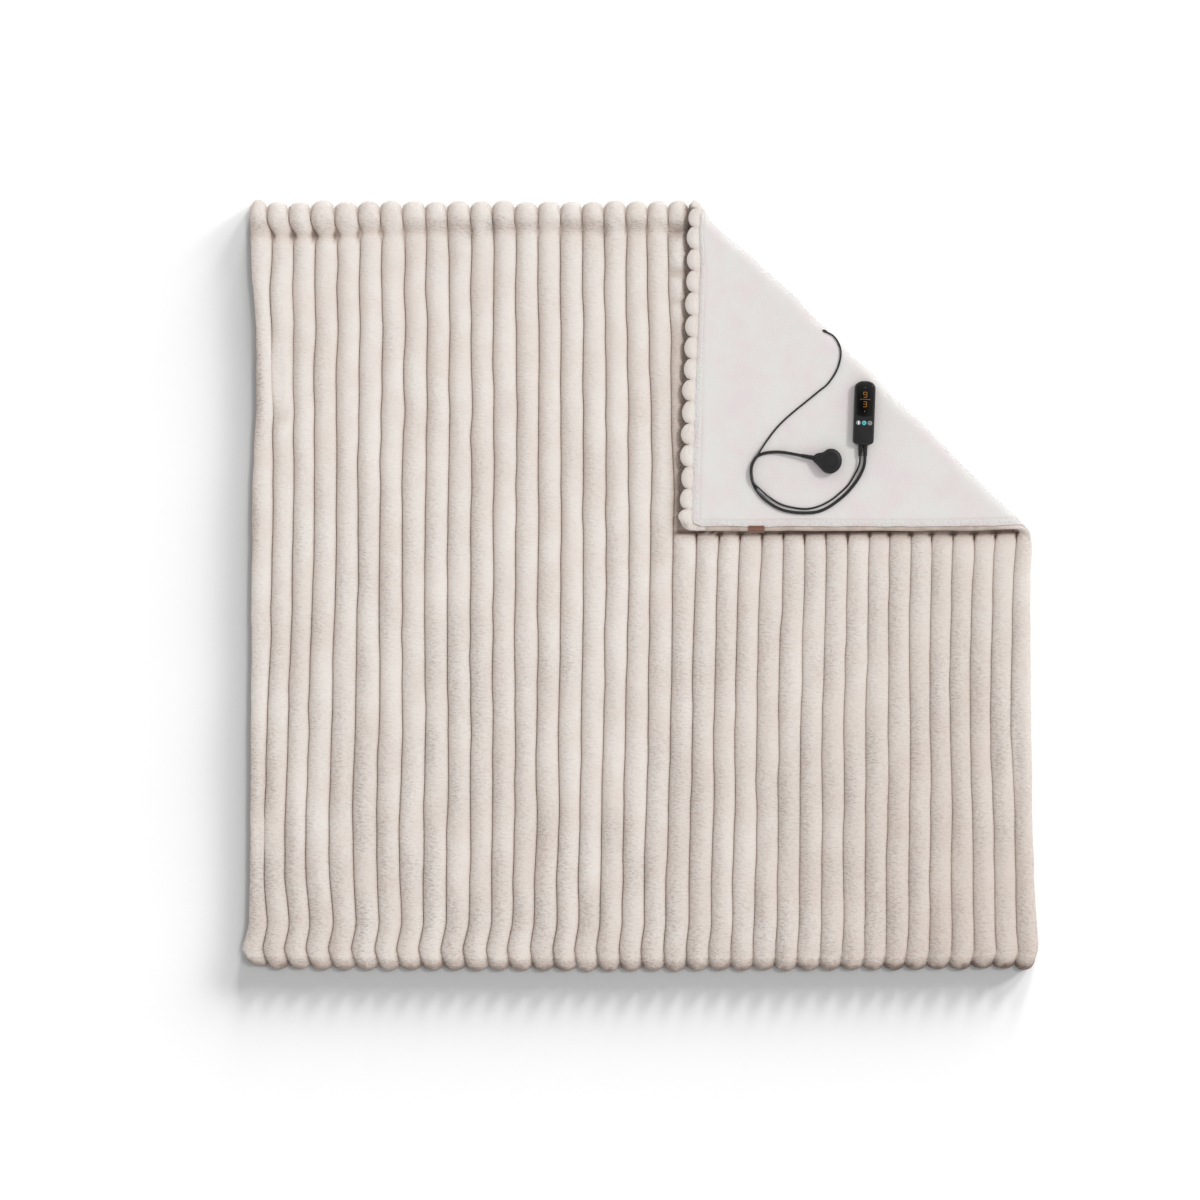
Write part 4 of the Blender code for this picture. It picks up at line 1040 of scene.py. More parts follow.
def velour_sheet():
    """Places of the flat velour with its hems, and how far in from its edge in hem widths."""
    x, y, high = velour_plan()
    past, _ = past_fold(np.column_stack((x.ravel(), y.ravel())))
    shown = ramp(CURL_LENGTH - 0.01, CURL_LENGTH + 0.03, past).reshape(x.shape)
    side_hems = (cloth_x(1.0, y) - SIDE_IN - x) / SIDE_HEM
    end_hems = (high - y) / np.interp(x, HEM_X, END_HEM)
    inside = np.minimum(side_hems, end_hems)
    inside = np.maximum(inside + layered(HEM_DRIFT, x, y) * ramp(0.0, 0.5, inside), 0.0)
    rise = eased(HEM_ROLL, 1, inside, HEM_EASE) * (1 + layered(PUCKERS, x, y))
    rise = rise + layered(OPEN_DRIFT, x, y) * ramp(1.5, 3.5, inside)
    # The cut edge isn't straight: it wavers by a millimetre or so.
    waver = layered(EDGE_WAVERS, x, y) * shown * (1 - ramp(0.0, 1.0, inside))
    x = x + waver * (side_hems < 1)
    y = y + waver * (end_hems < 1)
    return np.stack((x, y, -rise * shown), axis=-1), inside


velour_points, hem_inside = velour_sheet()
count = np.arange(hem_inside.size).reshape(hem_inside.shape)
lower_points, lower_faces = velour_points.reshape(-1, 3), grid_faces(count, from_below=True)
edge_ring = np.concatenate((count[0, :-1], count[:-1, -1], count[-1, :0:-1], count[:0:-1, 0]))
onward = np.roll(edge_ring, -1)
walls = np.stack((edge_ring, onward, onward + count.size, edge_ring + count.size), -1)
velour_faces = np.concatenate((lower_faces, lower_faces[:, ::-1] + count.size, walls))
velour_flat = np.concatenate((lower_points, lower_points + (0.0, 0.0, BACK_THICK)))
velour_mesh = bpy.data.meshes.new("velour_back")
velour_mesh.from_pydata(folded(velour_flat).tolist(), [], velour_faces.tolist())
hem_place = np.tile(hem_inside.reshape(-1), 2)
# Painted shade along the stitch line's valley, and more between the tufts of the rougher hem.
set_attribute(velour_mesh, "pile", 1 - 0.35 * bell(hem_place, 1.0, 0.10))
set_attribute(velour_mesh, "ruffle", 0.25 + 1.7 * (1 - ramp(0.6, 1.2, hem_place)))
set_attribute(velour_mesh, "flat", velour_flat)
velour_back = piece_of(velour_mesh)
finish_piece(velour_back, polyester_velour, stands_for=["back_panel"], angle=60.0)

# %% [markdown]
# ## Black plastics and the lit display
#
# The handset's shell is ABS moulded with a fine satin grain, and its window is acrylic, smooth
# and glossy.  Leads are jacketed in PVC, soft and a little shiny, and the plug and the strain
# reliefs are moulded from a matter grade with a spark-eroded grain.

# %% Plastic materials
def grained(name, colour, roughness, grain_mm, height, **sockets):
    """A moulded plastic: one colour, with a fine grain in its surface."""
    made, tree, shader = new_material(name, roughness=roughness, **sockets)
    place = add_node(tree, "TexCoord").outputs["Object"]
    grain = add_node(tree, "TexNoise", {"Vector": place, "Scale": per_mm(grain_mm),
                                        "Detail": 3.0}).outputs["Fac"]
    bump = add_node(tree, "Bump", {"Height": grain, "Strength": 0.5, "Distance": height})
    tree.links.new(bump.outputs["Normal"], shader.inputs["Normal"])
    worn = add_node(tree, "MapRange", {"Value": grain, "From Min": 0.3, "From Max": 0.7,
                                       "To Min": roughness - 0.06, "To Max": roughness + 0.06})
    tree.links.new(worn.outputs["Result"], shader.inputs["Roughness"])
    shader.inputs["Base Color"].default_value = rgb(colour)
    return made


def lit(name, colour, strength):
    """A glowing symbol: an LED lit from behind through clear plastic, or ink with painted glow or none.
    """
    made, _, shader = new_material(name, roughness=0.3)
    shader.inputs["Base Color"].default_value = rgb(colour)
    shader.inputs["Emission Color"].default_value = rgb(colour)
    shader.inputs["Emission Strength"].default_value = strength
    return made


abs_satin = grained("abs_satin_moulded", "0f0f0e", 0.36, 0.6, 0.00004)
acrylic_gloss = grained("acrylic_gloss_window", "050404", 0.05, 3.0, 0.000004)
pvc_jacket = grained("pvc_jacket_extruded", "161514", 0.28, 1.2, 0.00003)
pvc_grained = grained("pvc_grained_moulded", "0e0e0d", 0.48, 1.6, 0.00040, specular_ior_level=0.4)
silicone_key = grained("silicone_key_moulded", "878c8e", 0.50, 0.6, 0.00003)
led_amber = lit("led_amber_digits", "b07a34", 0.55)
led_cyan = lit("led_cyan_key", "55a9b3", 0.18)
# The white ink is printed, not lit: its faint glow is painted light.
ink_white_painted_glow = lit("white_symbols_painted_glow", "e6eaeb", 0.25)
ink_dark = lit("ink_dark_symbols", "33383a", 0.0)

# %% [markdown]
# ## The leads
#
# A thin lead comes out of the fold and runs to the handset; a thicker mains lead runs from the
# handset to the plug.  Both lie in one loose loop.  A few listed points give each route, and a
# smooth curve through them is bevelled to the lead's thickness.

# %% Places of the handset, the plug and their leads
FLAP_TOP = FOLD_HEIGHT + GAP
HANDSET_CENTRE = (0.4339, 0.3336)
HANDSET_LEAN = math.radians(-2.1)
HANDSET_LENGTH, HANDSET_WIDTH, HANDSET_TOP = 0.1240, 0.0404, 0.0162
RELIEF_LENGTH, RELIEF_SPREAD, RELIEF_AXIS, RELIEF_ROOT = 0.0210, 0.0048, 0.0070, 0.0046
PLUG_RELIEF_LENGTH, PLUG_RELIEF_ROOT = 0.0230, 0.0048
THIN_RADIUS, MAINS_RADIUS = 0.00185, 0.0031
PLUG_CENTRE, PLUG_TURN = (0.3682, 0.2402), math.radians(-11.0)
PLUG_HALF_LENGTH, PLUG_HALF_WIDTH, PLUG_HEIGHT, PLUG_AXIS = 0.0220, 0.0244, 0.0220, 0.0088
PLUG_NECK_END = -0.0335
LEAD_STRAIGHT = 0.0100

handset_place = (Matrix.Translation((*HANDSET_CENTRE, FLAP_TOP))
                 @ Matrix.Rotation(HANDSET_LEAN, 4, "Z"))
plug_place = Matrix.Translation((*PLUG_CENTRE, FLAP_TOP)) @ Matrix.Rotation(PLUG_TURN, 4, "Z")


def handset_exit(side, beyond=0.0):
    """Where a lead leaves its strain relief at the handset's foot, or a little beyond."""
    foot = -HANDSET_LENGTH / 2 - GAP - RELIEF_LENGTH - GAP - beyond
    return tuple(handset_place @ Vector((side * RELIEF_SPREAD, foot, RELIEF_AXIS)))


def plug_exit(beyond=0.0):
    """Where the mains lead leaves the plug's strain relief, or a little beyond."""
    reach = PLUG_NECK_END - GAP - PLUG_RELIEF_LENGTH - GAP - beyond
    return tuple(plug_place @ Vector((reach, 0.0, PLUG_AXIS)))


THIN_ROUTE = (
    (0.3617, 0.4920, 0.02966), (0.3748, 0.4848, 0.02640), (0.3848, 0.4710, 0.02860),
    (0.3892, 0.4540, 0.03260), (0.3867, 0.4333, 0.03315), (0.3791, 0.4132, 0.03315),
    (0.3633, 0.3904, 0.03315), (0.3461, 0.3762, 0.03315), (0.3233, 0.3575, 0.03315),
    (0.3003, 0.3389, 0.03315), (0.2775, 0.3188, 0.03320), (0.2603, 0.3003, 0.03360),
    (0.2432, 0.2773, 0.03560), (0.2285, 0.2545, 0.03970), (0.2180, 0.2360, 0.03990),
    (0.2137, 0.2188, 0.03990), (0.2172, 0.2016, 0.03990), (0.2295, 0.1880, 0.03870),
    (0.2488, 0.1716, 0.03440), (0.2718, 0.1572, 0.03315), (0.2976, 0.1501, 0.03315),
    (0.3233, 0.1480, 0.03315), (0.3461, 0.1529, 0.03315), (0.3691, 0.1644, 0.03315),
    (0.3890, 0.1802, 0.03320), (0.4035, 0.1944, 0.03360), (0.4158, 0.2140, 0.03480),
    (0.4228, 0.2285, 0.03680),
)
MAINS_ROUTE = (
    (0.4325, 0.2270, 0.03760), (0.4258, 0.2120, 0.03620), (0.4164, 0.1973, 0.03490),
    (0.4006, 0.1786, 0.03440), (0.3805, 0.1615, 0.03440), (0.3604, 0.1486, 0.03440),
    (0.3405, 0.1416, 0.03440), (0.3175, 0.1400, 0.03440), (0.2946, 0.1416, 0.03440),
    (0.2718, 0.1472, 0.03440), (0.2488, 0.1601, 0.03440), (0.2317, 0.1759, 0.03440),
    (0.2199, 0.1944, 0.03440), (0.2150, 0.2150, 0.03440), (0.2164, 0.2330, 0.03440),
    (0.2256, 0.2488, 0.03440), (0.2402, 0.2558, 0.03440), (0.2603, 0.2582, 0.03520),
    (0.2790, 0.2572, 0.03780),
)


# %% Leads
LEAD_STEP = 0.003                       # between the points of a lead's curve


def distances(points):
    """How far along a chain of points each of them lies."""
    return np.concatenate(([0.0], np.cumsum(np.linalg.norm(np.diff(points, axis=0), axis=1))))


def at_stops(points, lengths, stops):
    """The places on a chain of points at these distances along it."""
    return np.column_stack([np.interp(stops, lengths, column) for column in np.transpose(points)])


def smooth_route(points):
    """Points at even steps along a smooth curve through the route's own points."""
    pins = [Vector(point) for point in points]
    pins = [pins[0] * 2 - pins[1]] + pins + [pins[-1] * 2 - pins[-2]]
    dense = []
    for a, b, c, d in zip(pins, pins[1:], pins[2:], pins[3:]):
        for at in np.linspace(0.0, 1.0, 24, endpoint=False):
            dense.append(0.5 * (2 * b + (c - a) * at + (2 * a - 5 * b + 4 * c - d) * at ** 2
                                + (3 * b - a - 3 * c + d) * at ** 3))
    dense = np.array(dense + [pins[-2]])
    lengths = distances(dense)
    return at_stops(dense, lengths, np.linspace(0.0, lengths[-1], int(lengths[-1] / LEAD_STEP)))


def lead(name, route, radius, node):
    """A lead: a curve through its route, bevelled round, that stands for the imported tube."""
    curve = bpy.data.curves.new(name, "CURVE")
    curve.dimensions = "3D"
    curve.bevel_depth = radius
    curve.bevel_resolution = 6
    curve.use_fill_caps = True
    places = smooth_route(route)
    spline = curve.splines.new("POLY")
    spline.points.add(len(places) - 1)
    spline.points.foreach_set("co", np.column_stack((places, np.ones(len(places)))).reshape(-1))
    spline.use_smooth = True
    curve.materials.append(pvc_jacket)
    made = put_in_scene(name, curve)
    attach(made, "throw")
    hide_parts(node)
    print(name, "length", round(distances(places)[-1], 3), "m")
    return made


thin_route = (*THIN_ROUTE, handset_exit(-1, LEAD_STRAIGHT), handset_exit(-1))
mains_route = (handset_exit(1), handset_exit(1, LEAD_STRAIGHT), *MAINS_ROUTE,
               plug_exit(LEAD_STRAIGHT), plug_exit())
thin_jacket = lead("thin_jacket", thin_route, THIN_RADIUS, "thin_lead")
mains_jacket = lead("mains_jacket", mains_route, MAINS_RADIUS, "mains_lead")

# %% [markdown]
# ## Strain reliefs and the outlet
#
# A strain relief is a ribbed rubber sleeve that stops the lead from kinking where it enters.  It
# is drawn up from a disc: a collar first, then rings with narrow waists between them, each ring
# smaller than the last.

# %% Strain reliefs
RELIEF_RINGS = 4
RELIEF_TIP, RELIEF_WAIST = 0.0026, 0.0008           # the tip is thicker than half its lead by this
PLUG_RELIEF_TIP, PLUG_RELIEF_WAIST = MAINS_RADIUS + 0.0009, 0.0010


def relief_profile(length, root, tip, waist):
    """Collar and rings of a strain relief: distance along it and radius."""
    collar = length * 0.22
    profile = [(0.0, root * 0.90), (collar * 0.12, root * 0.97), (collar * 0.3, root),
               (collar * 0.9, root), (collar, root * 0.96)]
    pitch = (length - collar) / RELIEF_RINGS
    for ring in range(RELIEF_RINGS):
        at = collar + ring * pitch
        big = root + (tip - root) * (ring + 0.5) / RELIEF_RINGS
        profile += [(at + pitch * 0.14, big - waist), (at + pitch * 0.36, big - waist),
                    (at + pitch * 0.46, big * 0.97), (at + pitch * 0.56, big),
                    (at + pitch * 0.82, big), (at + pitch * 0.94, big * 0.96)]
    profile.append((length, tip * 0.86))
    return profile


def along(start, way):
    """The place of a round piece whose Z runs from start in some direction."""
    return Matrix.Translation(start) @ Vector(way).to_track_quat("Z", "Y").to_matrix().to_4x4()


def sleeve(name, node, profile, start, way, angle=50.0):
    """A sleeve turned to its profile and set along the lead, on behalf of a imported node."""
    return finish_piece(turned(name, profile), pvc_grained, along(start, way), stands_for=[node],
                        angle=angle)


handset_foot = -HANDSET_LENGTH / 2 - GAP
towards_foot = handset_place.to_3x3() @ Vector((0, -1, 0))
for kind, side, radius in (("thin", -1, THIN_RADIUS), ("mains", 1, MAINS_RADIUS)):
    start = handset_place @ Vector((side * RELIEF_SPREAD, handset_foot, RELIEF_AXIS))
    profile = relief_profile(RELIEF_LENGTH, RELIEF_ROOT, 0.5 * radius + RELIEF_TIP, RELIEF_WAIST)
    sleeve(f"relief_sleeve_{kind}", f"relief_{kind}", profile, start, towards_foot)

neck = plug_place @ Vector((PLUG_NECK_END - GAP, 0, PLUG_AXIS))
behind = plug_place.to_3x3() @ Vector((-1, 0, 0))
profile = relief_profile(PLUG_RELIEF_LENGTH, PLUG_RELIEF_ROOT, PLUG_RELIEF_TIP, PLUG_RELIEF_WAIST)
sleeve("relief_sleeve_plug", "plug_relief", profile, neck, behind)

# %% Outlet in the fold
OUTLET_PROFILE = ((0.0, 0.0020), (0.0004, 0.00235), (0.0010, 0.0026), (0.0030, 0.0026),
                  (0.0048, 0.0025), (0.0062, 0.0023), (0.0072, 0.0019), (0.0078, 0.0014),
                  (0.0080, 0.0008))     # distance along it, radius
lead_start, lead_next = Vector(THIN_ROUTE[0]), Vector(THIN_ROUTE[1])
into_fold = (lead_start - lead_next).normalized()
outlet = sleeve("outlet_sleeve", "cord_outlet", OUTLET_PROFILE, lead_start + into_fold * GAP,
                into_fold, angle=60.0)

# %% [markdown]
# ## The plug
#
# The plug lies on its face, so its smooth back shows: an oval head, and a neck that is fuller on
# one side.  Its plan is drawn from an arc and a few points, drawn up, and both rims are rounded
# with wide bevels; then the neck is pressed lower towards the lead.

# %% Plug
HEAD_FROM, HEAD_TO = -128, 122          # the head's arc, in degrees from the plug's nose
UPPER_NECK = ((-0.0131, 0.0183), (-0.0181, 0.0138), (-0.0250, 0.0118), (-0.0300, 0.0090),
              (PLUG_NECK_END, 0.0056))
LOWER_NECK = ((PLUG_NECK_END, -0.0056), (-0.0270, -0.0092), (-0.0180, -0.0156))
NECK_FROM, NECK_LOW = -0.012, 0.58      # where the neck begins, and its height at its end
PLUG_POINTS, FINER, SMOOTHING = 96, 4, 25


def plug_outline():
    """The plug's plan, smoothed: an oval head and a neck that is fuller on its upper side."""
    angles = np.radians(np.linspace(HEAD_FROM, HEAD_TO, 40))
    head = np.column_stack((PLUG_HALF_LENGTH * np.cos(angles), PLUG_HALF_WIDTH * np.sin(angles)))
    closed = np.concatenate((head, UPPER_NECK, LOWER_NECK, head[:1]))
    lengths = distances(closed)
    stops = np.linspace(0.0, lengths[-1], FINER * PLUG_POINTS, endpoint=False)
    window = np.hanning(SMOOTHING)
    window /= window.sum()
    smooth = [np.convolve(np.pad(column, SMOOTHING // 2, mode="wrap"), window, mode="valid")
              for column in at_stops(closed, lengths, stops).T]
    return np.column_stack(smooth)[::FINER]


plug = plate("plug_moulding", plug_outline(), 0.0, PLUG_HEIGHT, round_top=0.0068, round_low=0.0022,
             segments=7)
for vertex in plug.data.vertices:
    down_neck = ramp(NECK_FROM, PLUG_NECK_END, vertex.co.x)
    vertex.co.z = PLUG_AXIS + (vertex.co.z - PLUG_AXIS) * (1 - (1 - NECK_LOW) * down_neck)
finish_piece(plug, pvc_grained, plug_place, stands_for=["plug_body"],
             angle=50.0)

# A low ring is moulded on the back of the head.
HEAD_RING, HEAD_RING_ROUND, HEAD_RING_AT = 0.0128, 0.0007, 0.0008
bpy.ops.object.select_all(action="DESELECT")
bpy.ops.mesh.primitive_torus_add(major_radius=HEAD_RING, minor_radius=HEAD_RING_ROUND,
                                 major_segments=64, minor_segments=10)
head_ring = bpy.context.object
head_ring.name = head_ring.data.name = "plug_head_ring"
ring_place = plug_place @ Matrix.Translation((HEAD_RING_AT, 0, PLUG_HEIGHT))
finish_piece(head_ring, pvc_grained, ring_place)

# %% [markdown]
# ## The handset
#
# A slim moulded case with a rounded head.  Its plan is two half ovals joined by straight sides.
# The case is drawn up and both rims are bevelled; a pocket for the window and three wells for the
# keys are cut with booleans, as the mould's inserts would leave them.

# %% Sizes of the handset
HEAD_ROUND, FOOT_ROUND = (0.0160, 2.4), (0.0110, 3.0)   # depth, and how square
LENS_INSET, LENS_FOOT, LENS_CURVE, LENS_DEEP = 0.0034, -0.0080, 0.0050, 0.0012
LENS_PROUD = 0.0003
KEY_PITCH, KEY_ROW, KEY_RADIUS, KEY_SIDES = 0.0112, -0.0195, 0.0044, 48
KEY_BELOW, KEY_PROUD, KEY_TRAVEL = 0.0013, 0.0009, 0.0007
ABOVE_ALL = 0.03                        # every cutter reaches up to here at least
WELL_FLOOR = HANDSET_TOP - KEY_BELOW - KEY_TRAVEL - GAP


# %% Handset case
def rounded_end(half, depth, square, middle, way):
    """Points of one rounded end, from one side of the case to the other; its way is 1 or -1."""
    angles = np.linspace(0, math.pi, 33) + (0.0 if way > 0 else math.pi)
    x = half * np.sign(np.cos(angles)) * np.abs(np.cos(angles)) ** (2 / square)
    lift = way * depth * np.abs(np.sin(angles)) ** (2 / square)
    return np.column_stack((x, middle + lift))


def handset_outline(inset=0.0, foot=None):
    """The case's whole plan, or the window's: the head drawn in a little, down to a curved foot."""
    half = HANDSET_WIDTH / 2 - inset
    depth, square = HEAD_ROUND
    head = rounded_end(half, depth - inset * 0.6, square,
                       HANDSET_LENGTH / 2 - depth - inset * 0.4, 1)
    if foot is not None:
        x = np.linspace(-half, half, 26)[1:-1]
        return np.concatenate((head, np.column_stack((x, foot + LENS_CURVE * (x / half) ** 2))))
    depth, square = FOOT_ROUND
    return np.concatenate((head, rounded_end(half, depth, square, depth - HANDSET_LENGTH / 2, -1)))


def cut_away(piece, tool):
    """Cut one piece with another, and remove the cutter."""
    only(piece)
    cut = piece.modifiers.new("cut", "BOOLEAN")
    cut.operation, cut.object, cut.solver = "DIFFERENCE", tool, "EXACT"
    bpy.ops.object.modifier_apply(modifier=cut.name)
    bpy.data.objects.remove(tool, do_unlink=True)


case = plate("handset_case", handset_outline(), 0.0, HANDSET_TOP, round_top=0.0030,
             round_low=0.0026, segments=6)
cut_away(case, plate("window_pocket", handset_outline(LENS_INSET - GAP, LENS_FOOT - GAP),
                     HANDSET_TOP - LENS_DEEP - GAP, ABOVE_ALL))
key_centres = [((place - 1) * KEY_PITCH, KEY_ROW) for place in range(3)]
for key_x, key_y in key_centres:
    well = start_circle("well", KEY_SIDES, KEY_RADIUS + GAP)
    well.data.transform(Matrix.Translation((key_x, key_y, WELL_FLOOR)))
    bpy.ops.object.mode_set(mode="EDIT")
    draw_up(ABOVE_ALL)
    bpy.ops.object.mode_set(mode="OBJECT")
    cut_away(case, well)
finish_piece(case, abs_satin, handset_place, stands_for=["handset_body"],
             angle=30.0)

# %% [markdown]
# The window is a glossy plate with a fine bevel round its rim.  Behind it glow a few lit
# figures: two seven-segment digits with a thin rule between them, and a dot above and below.

# %% Window
window = plate("acrylic_window", handset_outline(LENS_INSET, LENS_FOOT), HANDSET_TOP - LENS_DEEP,
               HANDSET_TOP + LENS_PROUD, round_top=0.0006, segments=3)
finish_piece(window, acrylic_gloss, handset_place, stands_for=["handset_lens"],
             angle=30.0)

# %% Flat bars for figures and symbols
INK_THICK = 0.00008


def bar(work, start, end, half, low, high, apart):
    """A flat bar with pointed ends, drawn in at each end by its half width times `apart`."""
    a, b = Vector(start), Vector(end)
    way = (b - a).normalized()
    side = Vector((-way.y, way.x)) * half
    a, b = a + way * half * apart, b - way * half * apart
    tips = (a - way * half, a + side, b + side, b + way * half, b - side, a - side)
    rings = [[work.verts.new((*tip, z)) for tip in tips] for z in (low, high)]
    work.faces.new(rings[0])
    work.faces.new(rings[1][::-1])
    for at in range(6):
        work.faces.new((rings[0][at - 1], rings[1][at - 1], rings[1][at], rings[0][at]))


def figures(name, strokes, half, finish, top, body="throw", place=handset_place, apart=1.15):
    """A piece made of flat bars from a list of strokes, each a start and an end."""
    work = bmesh.new()
    for start, end in strokes:
        bar(work, start, end, half, top - INK_THICK, top, apart)
    mesh = bpy.data.meshes.new(name)
    work.to_mesh(mesh)
    work.free()
    return finish_piece(put_in_scene(name, mesh), finish, place, body=body, angle=30.0)


# %% Lit display
DISPLAY_TOP = HANDSET_TOP + LENS_PROUD + INK_THICK
DISPLAY_MIDDLE = 0.0002
DIGIT_HALF_X, DIGIT_HALF_Y, STROKE_HALF = 0.0033, 0.0049, 0.00025
DIGITS_AT = (("9", 0.0352), ("3", 0.0168))
RULE_AT, RULE_FROM, RULE_TO, RULE_HALF = 0.0262, -0.0100, 0.0110, 0.00020
DOTS_AT, DOT_REACH, DOT_HALF = (0.0492, 0.0030), 0.0009, 0.0008
SEGMENTS = {"9": "abcdfg", "3": "abcdg"}
SEGMENT_ENDS = {"a": ((-1, 1), (1, 1)), "b": ((1, 1), (1, 0)), "c": ((1, 0), (1, -1)),
                "d": ((-1, -1), (1, -1)), "f": ((-1, 1), (-1, 0)), "g": ((-1, 0), (1, 0))}

digits = [tuple((DISPLAY_MIDDLE + x * DIGIT_HALF_X, middle + y * DIGIT_HALF_Y)
                for x, y in SEGMENT_ENDS[letter])
          for sign, middle in DIGITS_AT for letter in SEGMENTS[sign]]
rule = [((RULE_FROM, RULE_AT), (RULE_TO, RULE_AT))]
dots = [((DISPLAY_MIDDLE - DOT_REACH, at), (DISPLAY_MIDDLE + DOT_REACH, at)) for at in DOTS_AT]
figures("lit_digits", digits, STROKE_HALF, led_amber, DISPLAY_TOP)
figures("lit_rule", rule, RULE_HALF, led_amber, DISPLAY_TOP)
figures("lit_dots", dots, DOT_HALF, led_amber, DISPLAY_TOP)

# %% [markdown]
# Each key is a low disc with a softened rim, which slides down in its well.  Its symbol is
# printed on top and moves with it; the white symbol has a faint painted glow.  The middle key
# is lit.

# %% Keys
KEY_TOP = HANDSET_TOP + KEY_PROUD
KEY_PROFILE = ((HANDSET_TOP - KEY_BELOW, KEY_RADIUS), (KEY_TOP - 0.0005, KEY_RADIUS),
               (KEY_TOP - 0.0002, KEY_RADIUS - 0.0002), (KEY_TOP - 0.00005, KEY_RADIUS - 0.0005),
               (KEY_TOP, KEY_RADIUS - 0.0009))
WHITE_HALF, DARK_HALF = 0.0008, 0.00030             # half widths of the symbols' strokes


def arc_strokes(middle_y, radius, first, last):
    """A part of a circle, between two angles in degrees, as fourteen short strokes."""
    angles = np.radians(np.linspace(first, last, 15))
    places = [(radius * math.cos(angle), middle_y + radius * math.sin(angle)) for angle in angles]
    return list(zip(places, places[1:]))


bar_mark = [((0.0008, -0.0030), (0.0008, 0.0030))]
power_mark = arc_strokes(-0.0002, 0.0019, 125, 415) + [((0, 0.0002), (0, 0.0027))]
clock_hands = [((0, 0), (0, 0.0016)), ((0, 0), (0.0013, 0))]
clock_mark = arc_strokes(0, 0.0022, 0, 360) + clock_hands
KEYS = (
    # side, its finish, its symbol, the symbol's ink, half the width of its strokes
    ("left", silicone_key, bar_mark, ink_white_painted_glow, WHITE_HALF),
    ("centre", led_cyan, power_mark, ink_dark, DARK_HALF),
    ("right", silicone_key, clock_mark, ink_dark, DARK_HALF),
)
for (side, finish, mark, ink, half), (key_x, key_y) in zip(KEYS, key_centres):
    node, body = f"key_{side}", f"{side}_key"
    spot = handset_place @ Matrix.Translation((key_x, key_y, 0))
    finish_piece(turned(f"{node}_disc", KEY_PROFILE, KEY_SIDES), finish, spot, body=body,
                 stands_for=[node], angle=50.0)
    figures(f"{node}_mark", mark, half, ink, KEY_TOP + INK_THICK, body, spot, apart=0.1)

# %% [markdown]
# ## The label
#
# A short woven tape is caught in the flap's front seam and turns down over the edge.  Its face is
# plain here.  A fine weave, a warp and a weft crossing, gives it its ribbed look.

# %% Woven tape
WEFT_MM, WARP_MM = 2.762, 2.170         # real threads are far finer; these are as coarse as shows
WAVE_LENGTH_AT_ONE = math.tau / 20      # the length of a wave pattern whose scale is 1


def woven_tape():
    """A woven polyester tape: threads that cross, in two browns and in its height."""
    made, tree, shader = new_material("polyester_tape_woven", roughness=0.75, sheen_weight=0.2)
    place = add_node(tree, "TexCoord").outputs["Object"]
    weft, warp = (add_node(tree, "TexWave", {"Vector": place, "Scale": per_mm(mm) * WAVE_LENGTH_AT_ONE},
                           bands_direction=way).outputs["Fac"]
                  for mm, way in ((WEFT_MM, "X"), (WARP_MM, "Z")))
    threads = add_node(tree, "Math", {0: weft, 1: warp}, operation="MULTIPLY").outputs[0]
    browns = add_node(tree, "Mix", {0: threads, 6: rgb("6e4a3c"), 7: rgb("936554")},
                      data_type="RGBA")
    tree.links.new(browns.outputs[2], shader.inputs["Base Color"])
    raised = add_node(tree, "Bump", {"Height": threads, "Strength": 0.6, "Distance": 0.0002})
    tree.links.new(raised.outputs["Normal"], shader.inputs["Normal"])
    return made


# %% Label
# The strip's side view, from the seam out over the rim, is drawn up to the label's length.
LABEL_PLACE, LABEL_LENGTH, LABEL_THICK = 0.2095, 0.0310, 0.0009
LABEL_SIDE = ((0.1145, 0.0326), (0.1115, 0.0324), (0.1085, 0.0317), (0.1060, 0.0305),
              (0.1040, 0.0287), (0.1026, 0.0264), (0.1020, 0.0237))
inner_side = [(y + LABEL_THICK * 0.7, z - LABEL_THICK) for y, z in LABEL_SIDE[::-1]]
label = plate("woven_label", [*LABEL_SIDE, *inner_side], 0.0, LABEL_LENGTH)
stand_up = Matrix(((0, 0, 1, LABEL_PLACE), (1, 0, 0, 0), (0, 1, 0, 0), (0, 0, 0, 1)))
finish_piece(label, woven_tape(), stand_up, stands_for=["edge_label"],
             angle=50.0)

# %% [markdown]
# ## Surface and light
#
# The throw lies on a plain pale surface.  A large soft light from the upper right shades the
# left flank of each rib and lays the shadows to the left and below; a pale surround fills them.
# The surround is darker straight overhead, so the glossy window stays black.  The wide shadow on
# the surface needs low light, which would bleach the cloth, so three low, wide sources are
# linked to the surface alone.

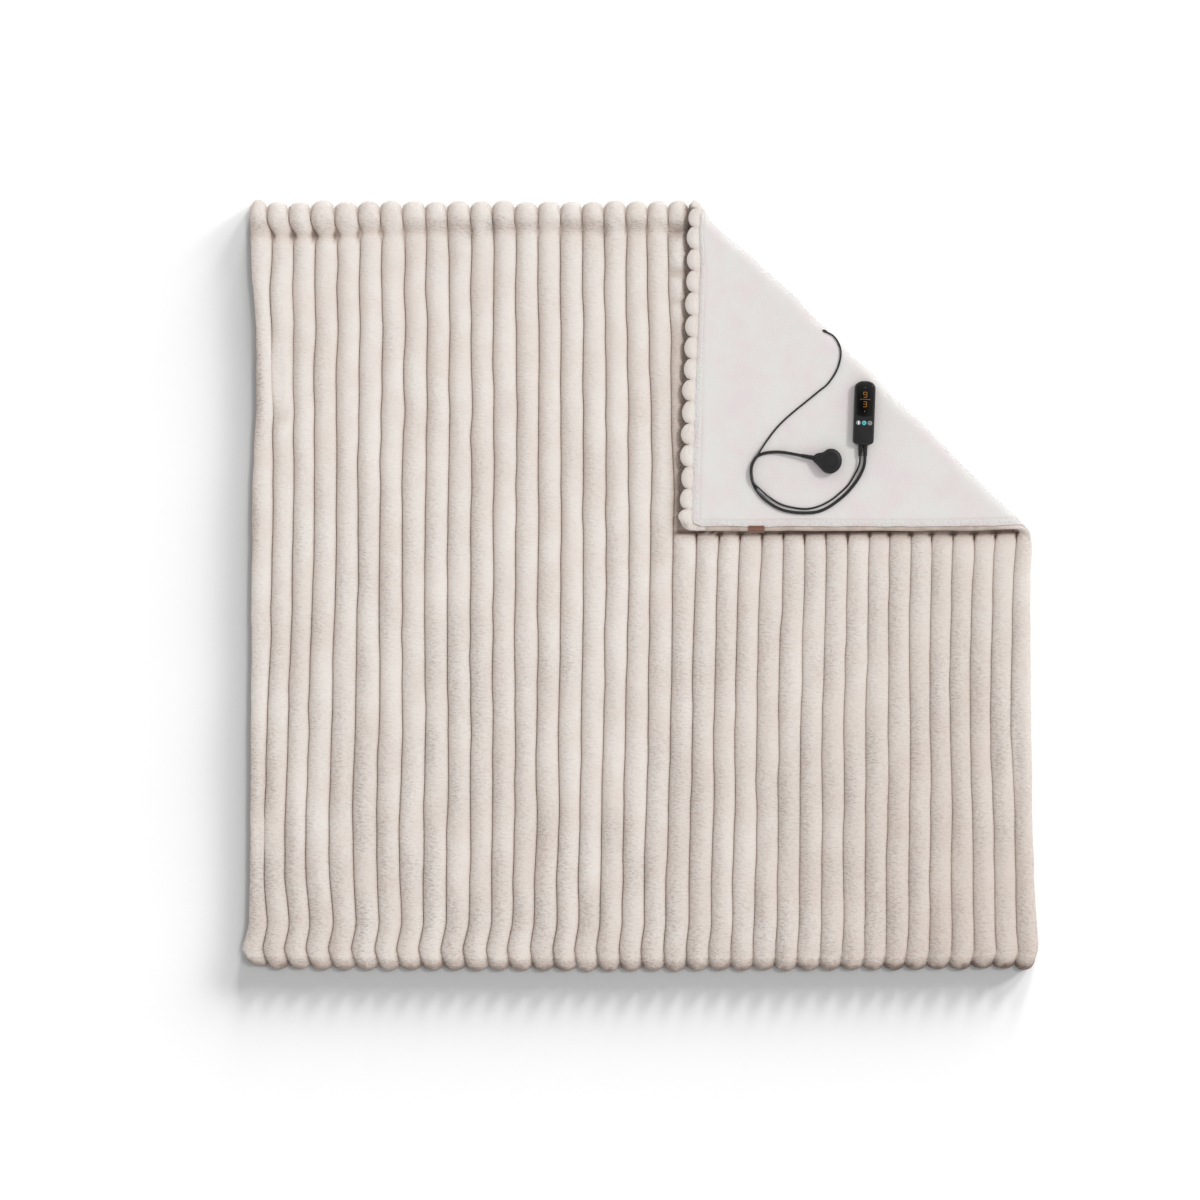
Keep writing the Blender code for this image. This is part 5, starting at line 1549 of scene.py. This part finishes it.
# %% Stage
STAGE_WIDTH = 60.0
bpy.ops.object.select_all(action="DESELECT")
bpy.ops.mesh.primitive_plane_add(size=STAGE_WIDTH)
surface_below = bpy.context.object
surface_below.name = "pale_surface"
board, _, board_shader = new_material("matt_pale_board", roughness=0.9, specular_ior_level=0.1)
board_shader.inputs["Base Color"].default_value = rgb("adadad")
surface_below.data.materials.append(board)
surface_only = bpy.data.collections.new("lit_by_low_wash")
surface_only.objects.link(surface_below)

# %% Lights
KEY_FROM = (1.0, 0.62, 1.20)            # direction that the main light comes from
KEY_STRENGTH, KEY_SOFTNESS = 1.30, 12.0
WASH_TURNS = (33.0, 54.0, 78.0)         # degrees from +X towards +Y
WASH_HEIGHT, WASH_STRENGTH, WASH_SOFTNESS = 6.2, 12.9, 13.0     # degrees, strength, degrees
SURROUND_LOW, SURROUND_OVERHEAD = 0.88, 0.08
OVERHEAD_FROM = 0.92                    # the surround darkens where its direction's Z is above this


def distant_light(name, direction, strength, softness, receivers=None):
    """A distant light from a direction, as wide as these degrees, on all or on one collection."""
    data = bpy.data.lights.new(name, "SUN")
    data.energy = strength
    data.angle = math.radians(softness)
    made = put_in_scene(name, data)
    made.rotation_euler = Vector(direction).to_track_quat("Z", "Y").to_euler()
    if receivers:
        made.light_linking.receiver_collection = receivers


distant_light("soft_key", KEY_FROM, KEY_STRENGTH, KEY_SOFTNESS)
for turn in WASH_TURNS:
    flat_turn = math.radians(turn)
    low_from = (math.cos(flat_turn), math.sin(flat_turn), math.tan(math.radians(WASH_HEIGHT)))
    distant_light(f"low_wash_{turn:.0f}", low_from, WASH_STRENGTH, WASH_SOFTNESS, surface_only)

surround = bpy.data.worlds.new("pale_surround")
surround.use_nodes = True
sky = surround.node_tree
upward = add_node(sky, "SeparateXYZ", {"Vector": add_node(sky, "TexCoord").outputs["Generated"]})
strength = add_node(sky, "MapRange", {"Value": upward.outputs["Z"], "From Min": OVERHEAD_FROM,
                                      "To Min": SURROUND_LOW, "To Max": SURROUND_OVERHEAD})
sky.nodes["Background"].inputs["Color"].default_value = rgb("ffffff")
sky.links.new(strength.outputs["Result"], sky.nodes["Background"].inputs["Strength"])
bpy.context.scene.world = surround
bpy.context.scene.view_settings.view_transform = "Standard"
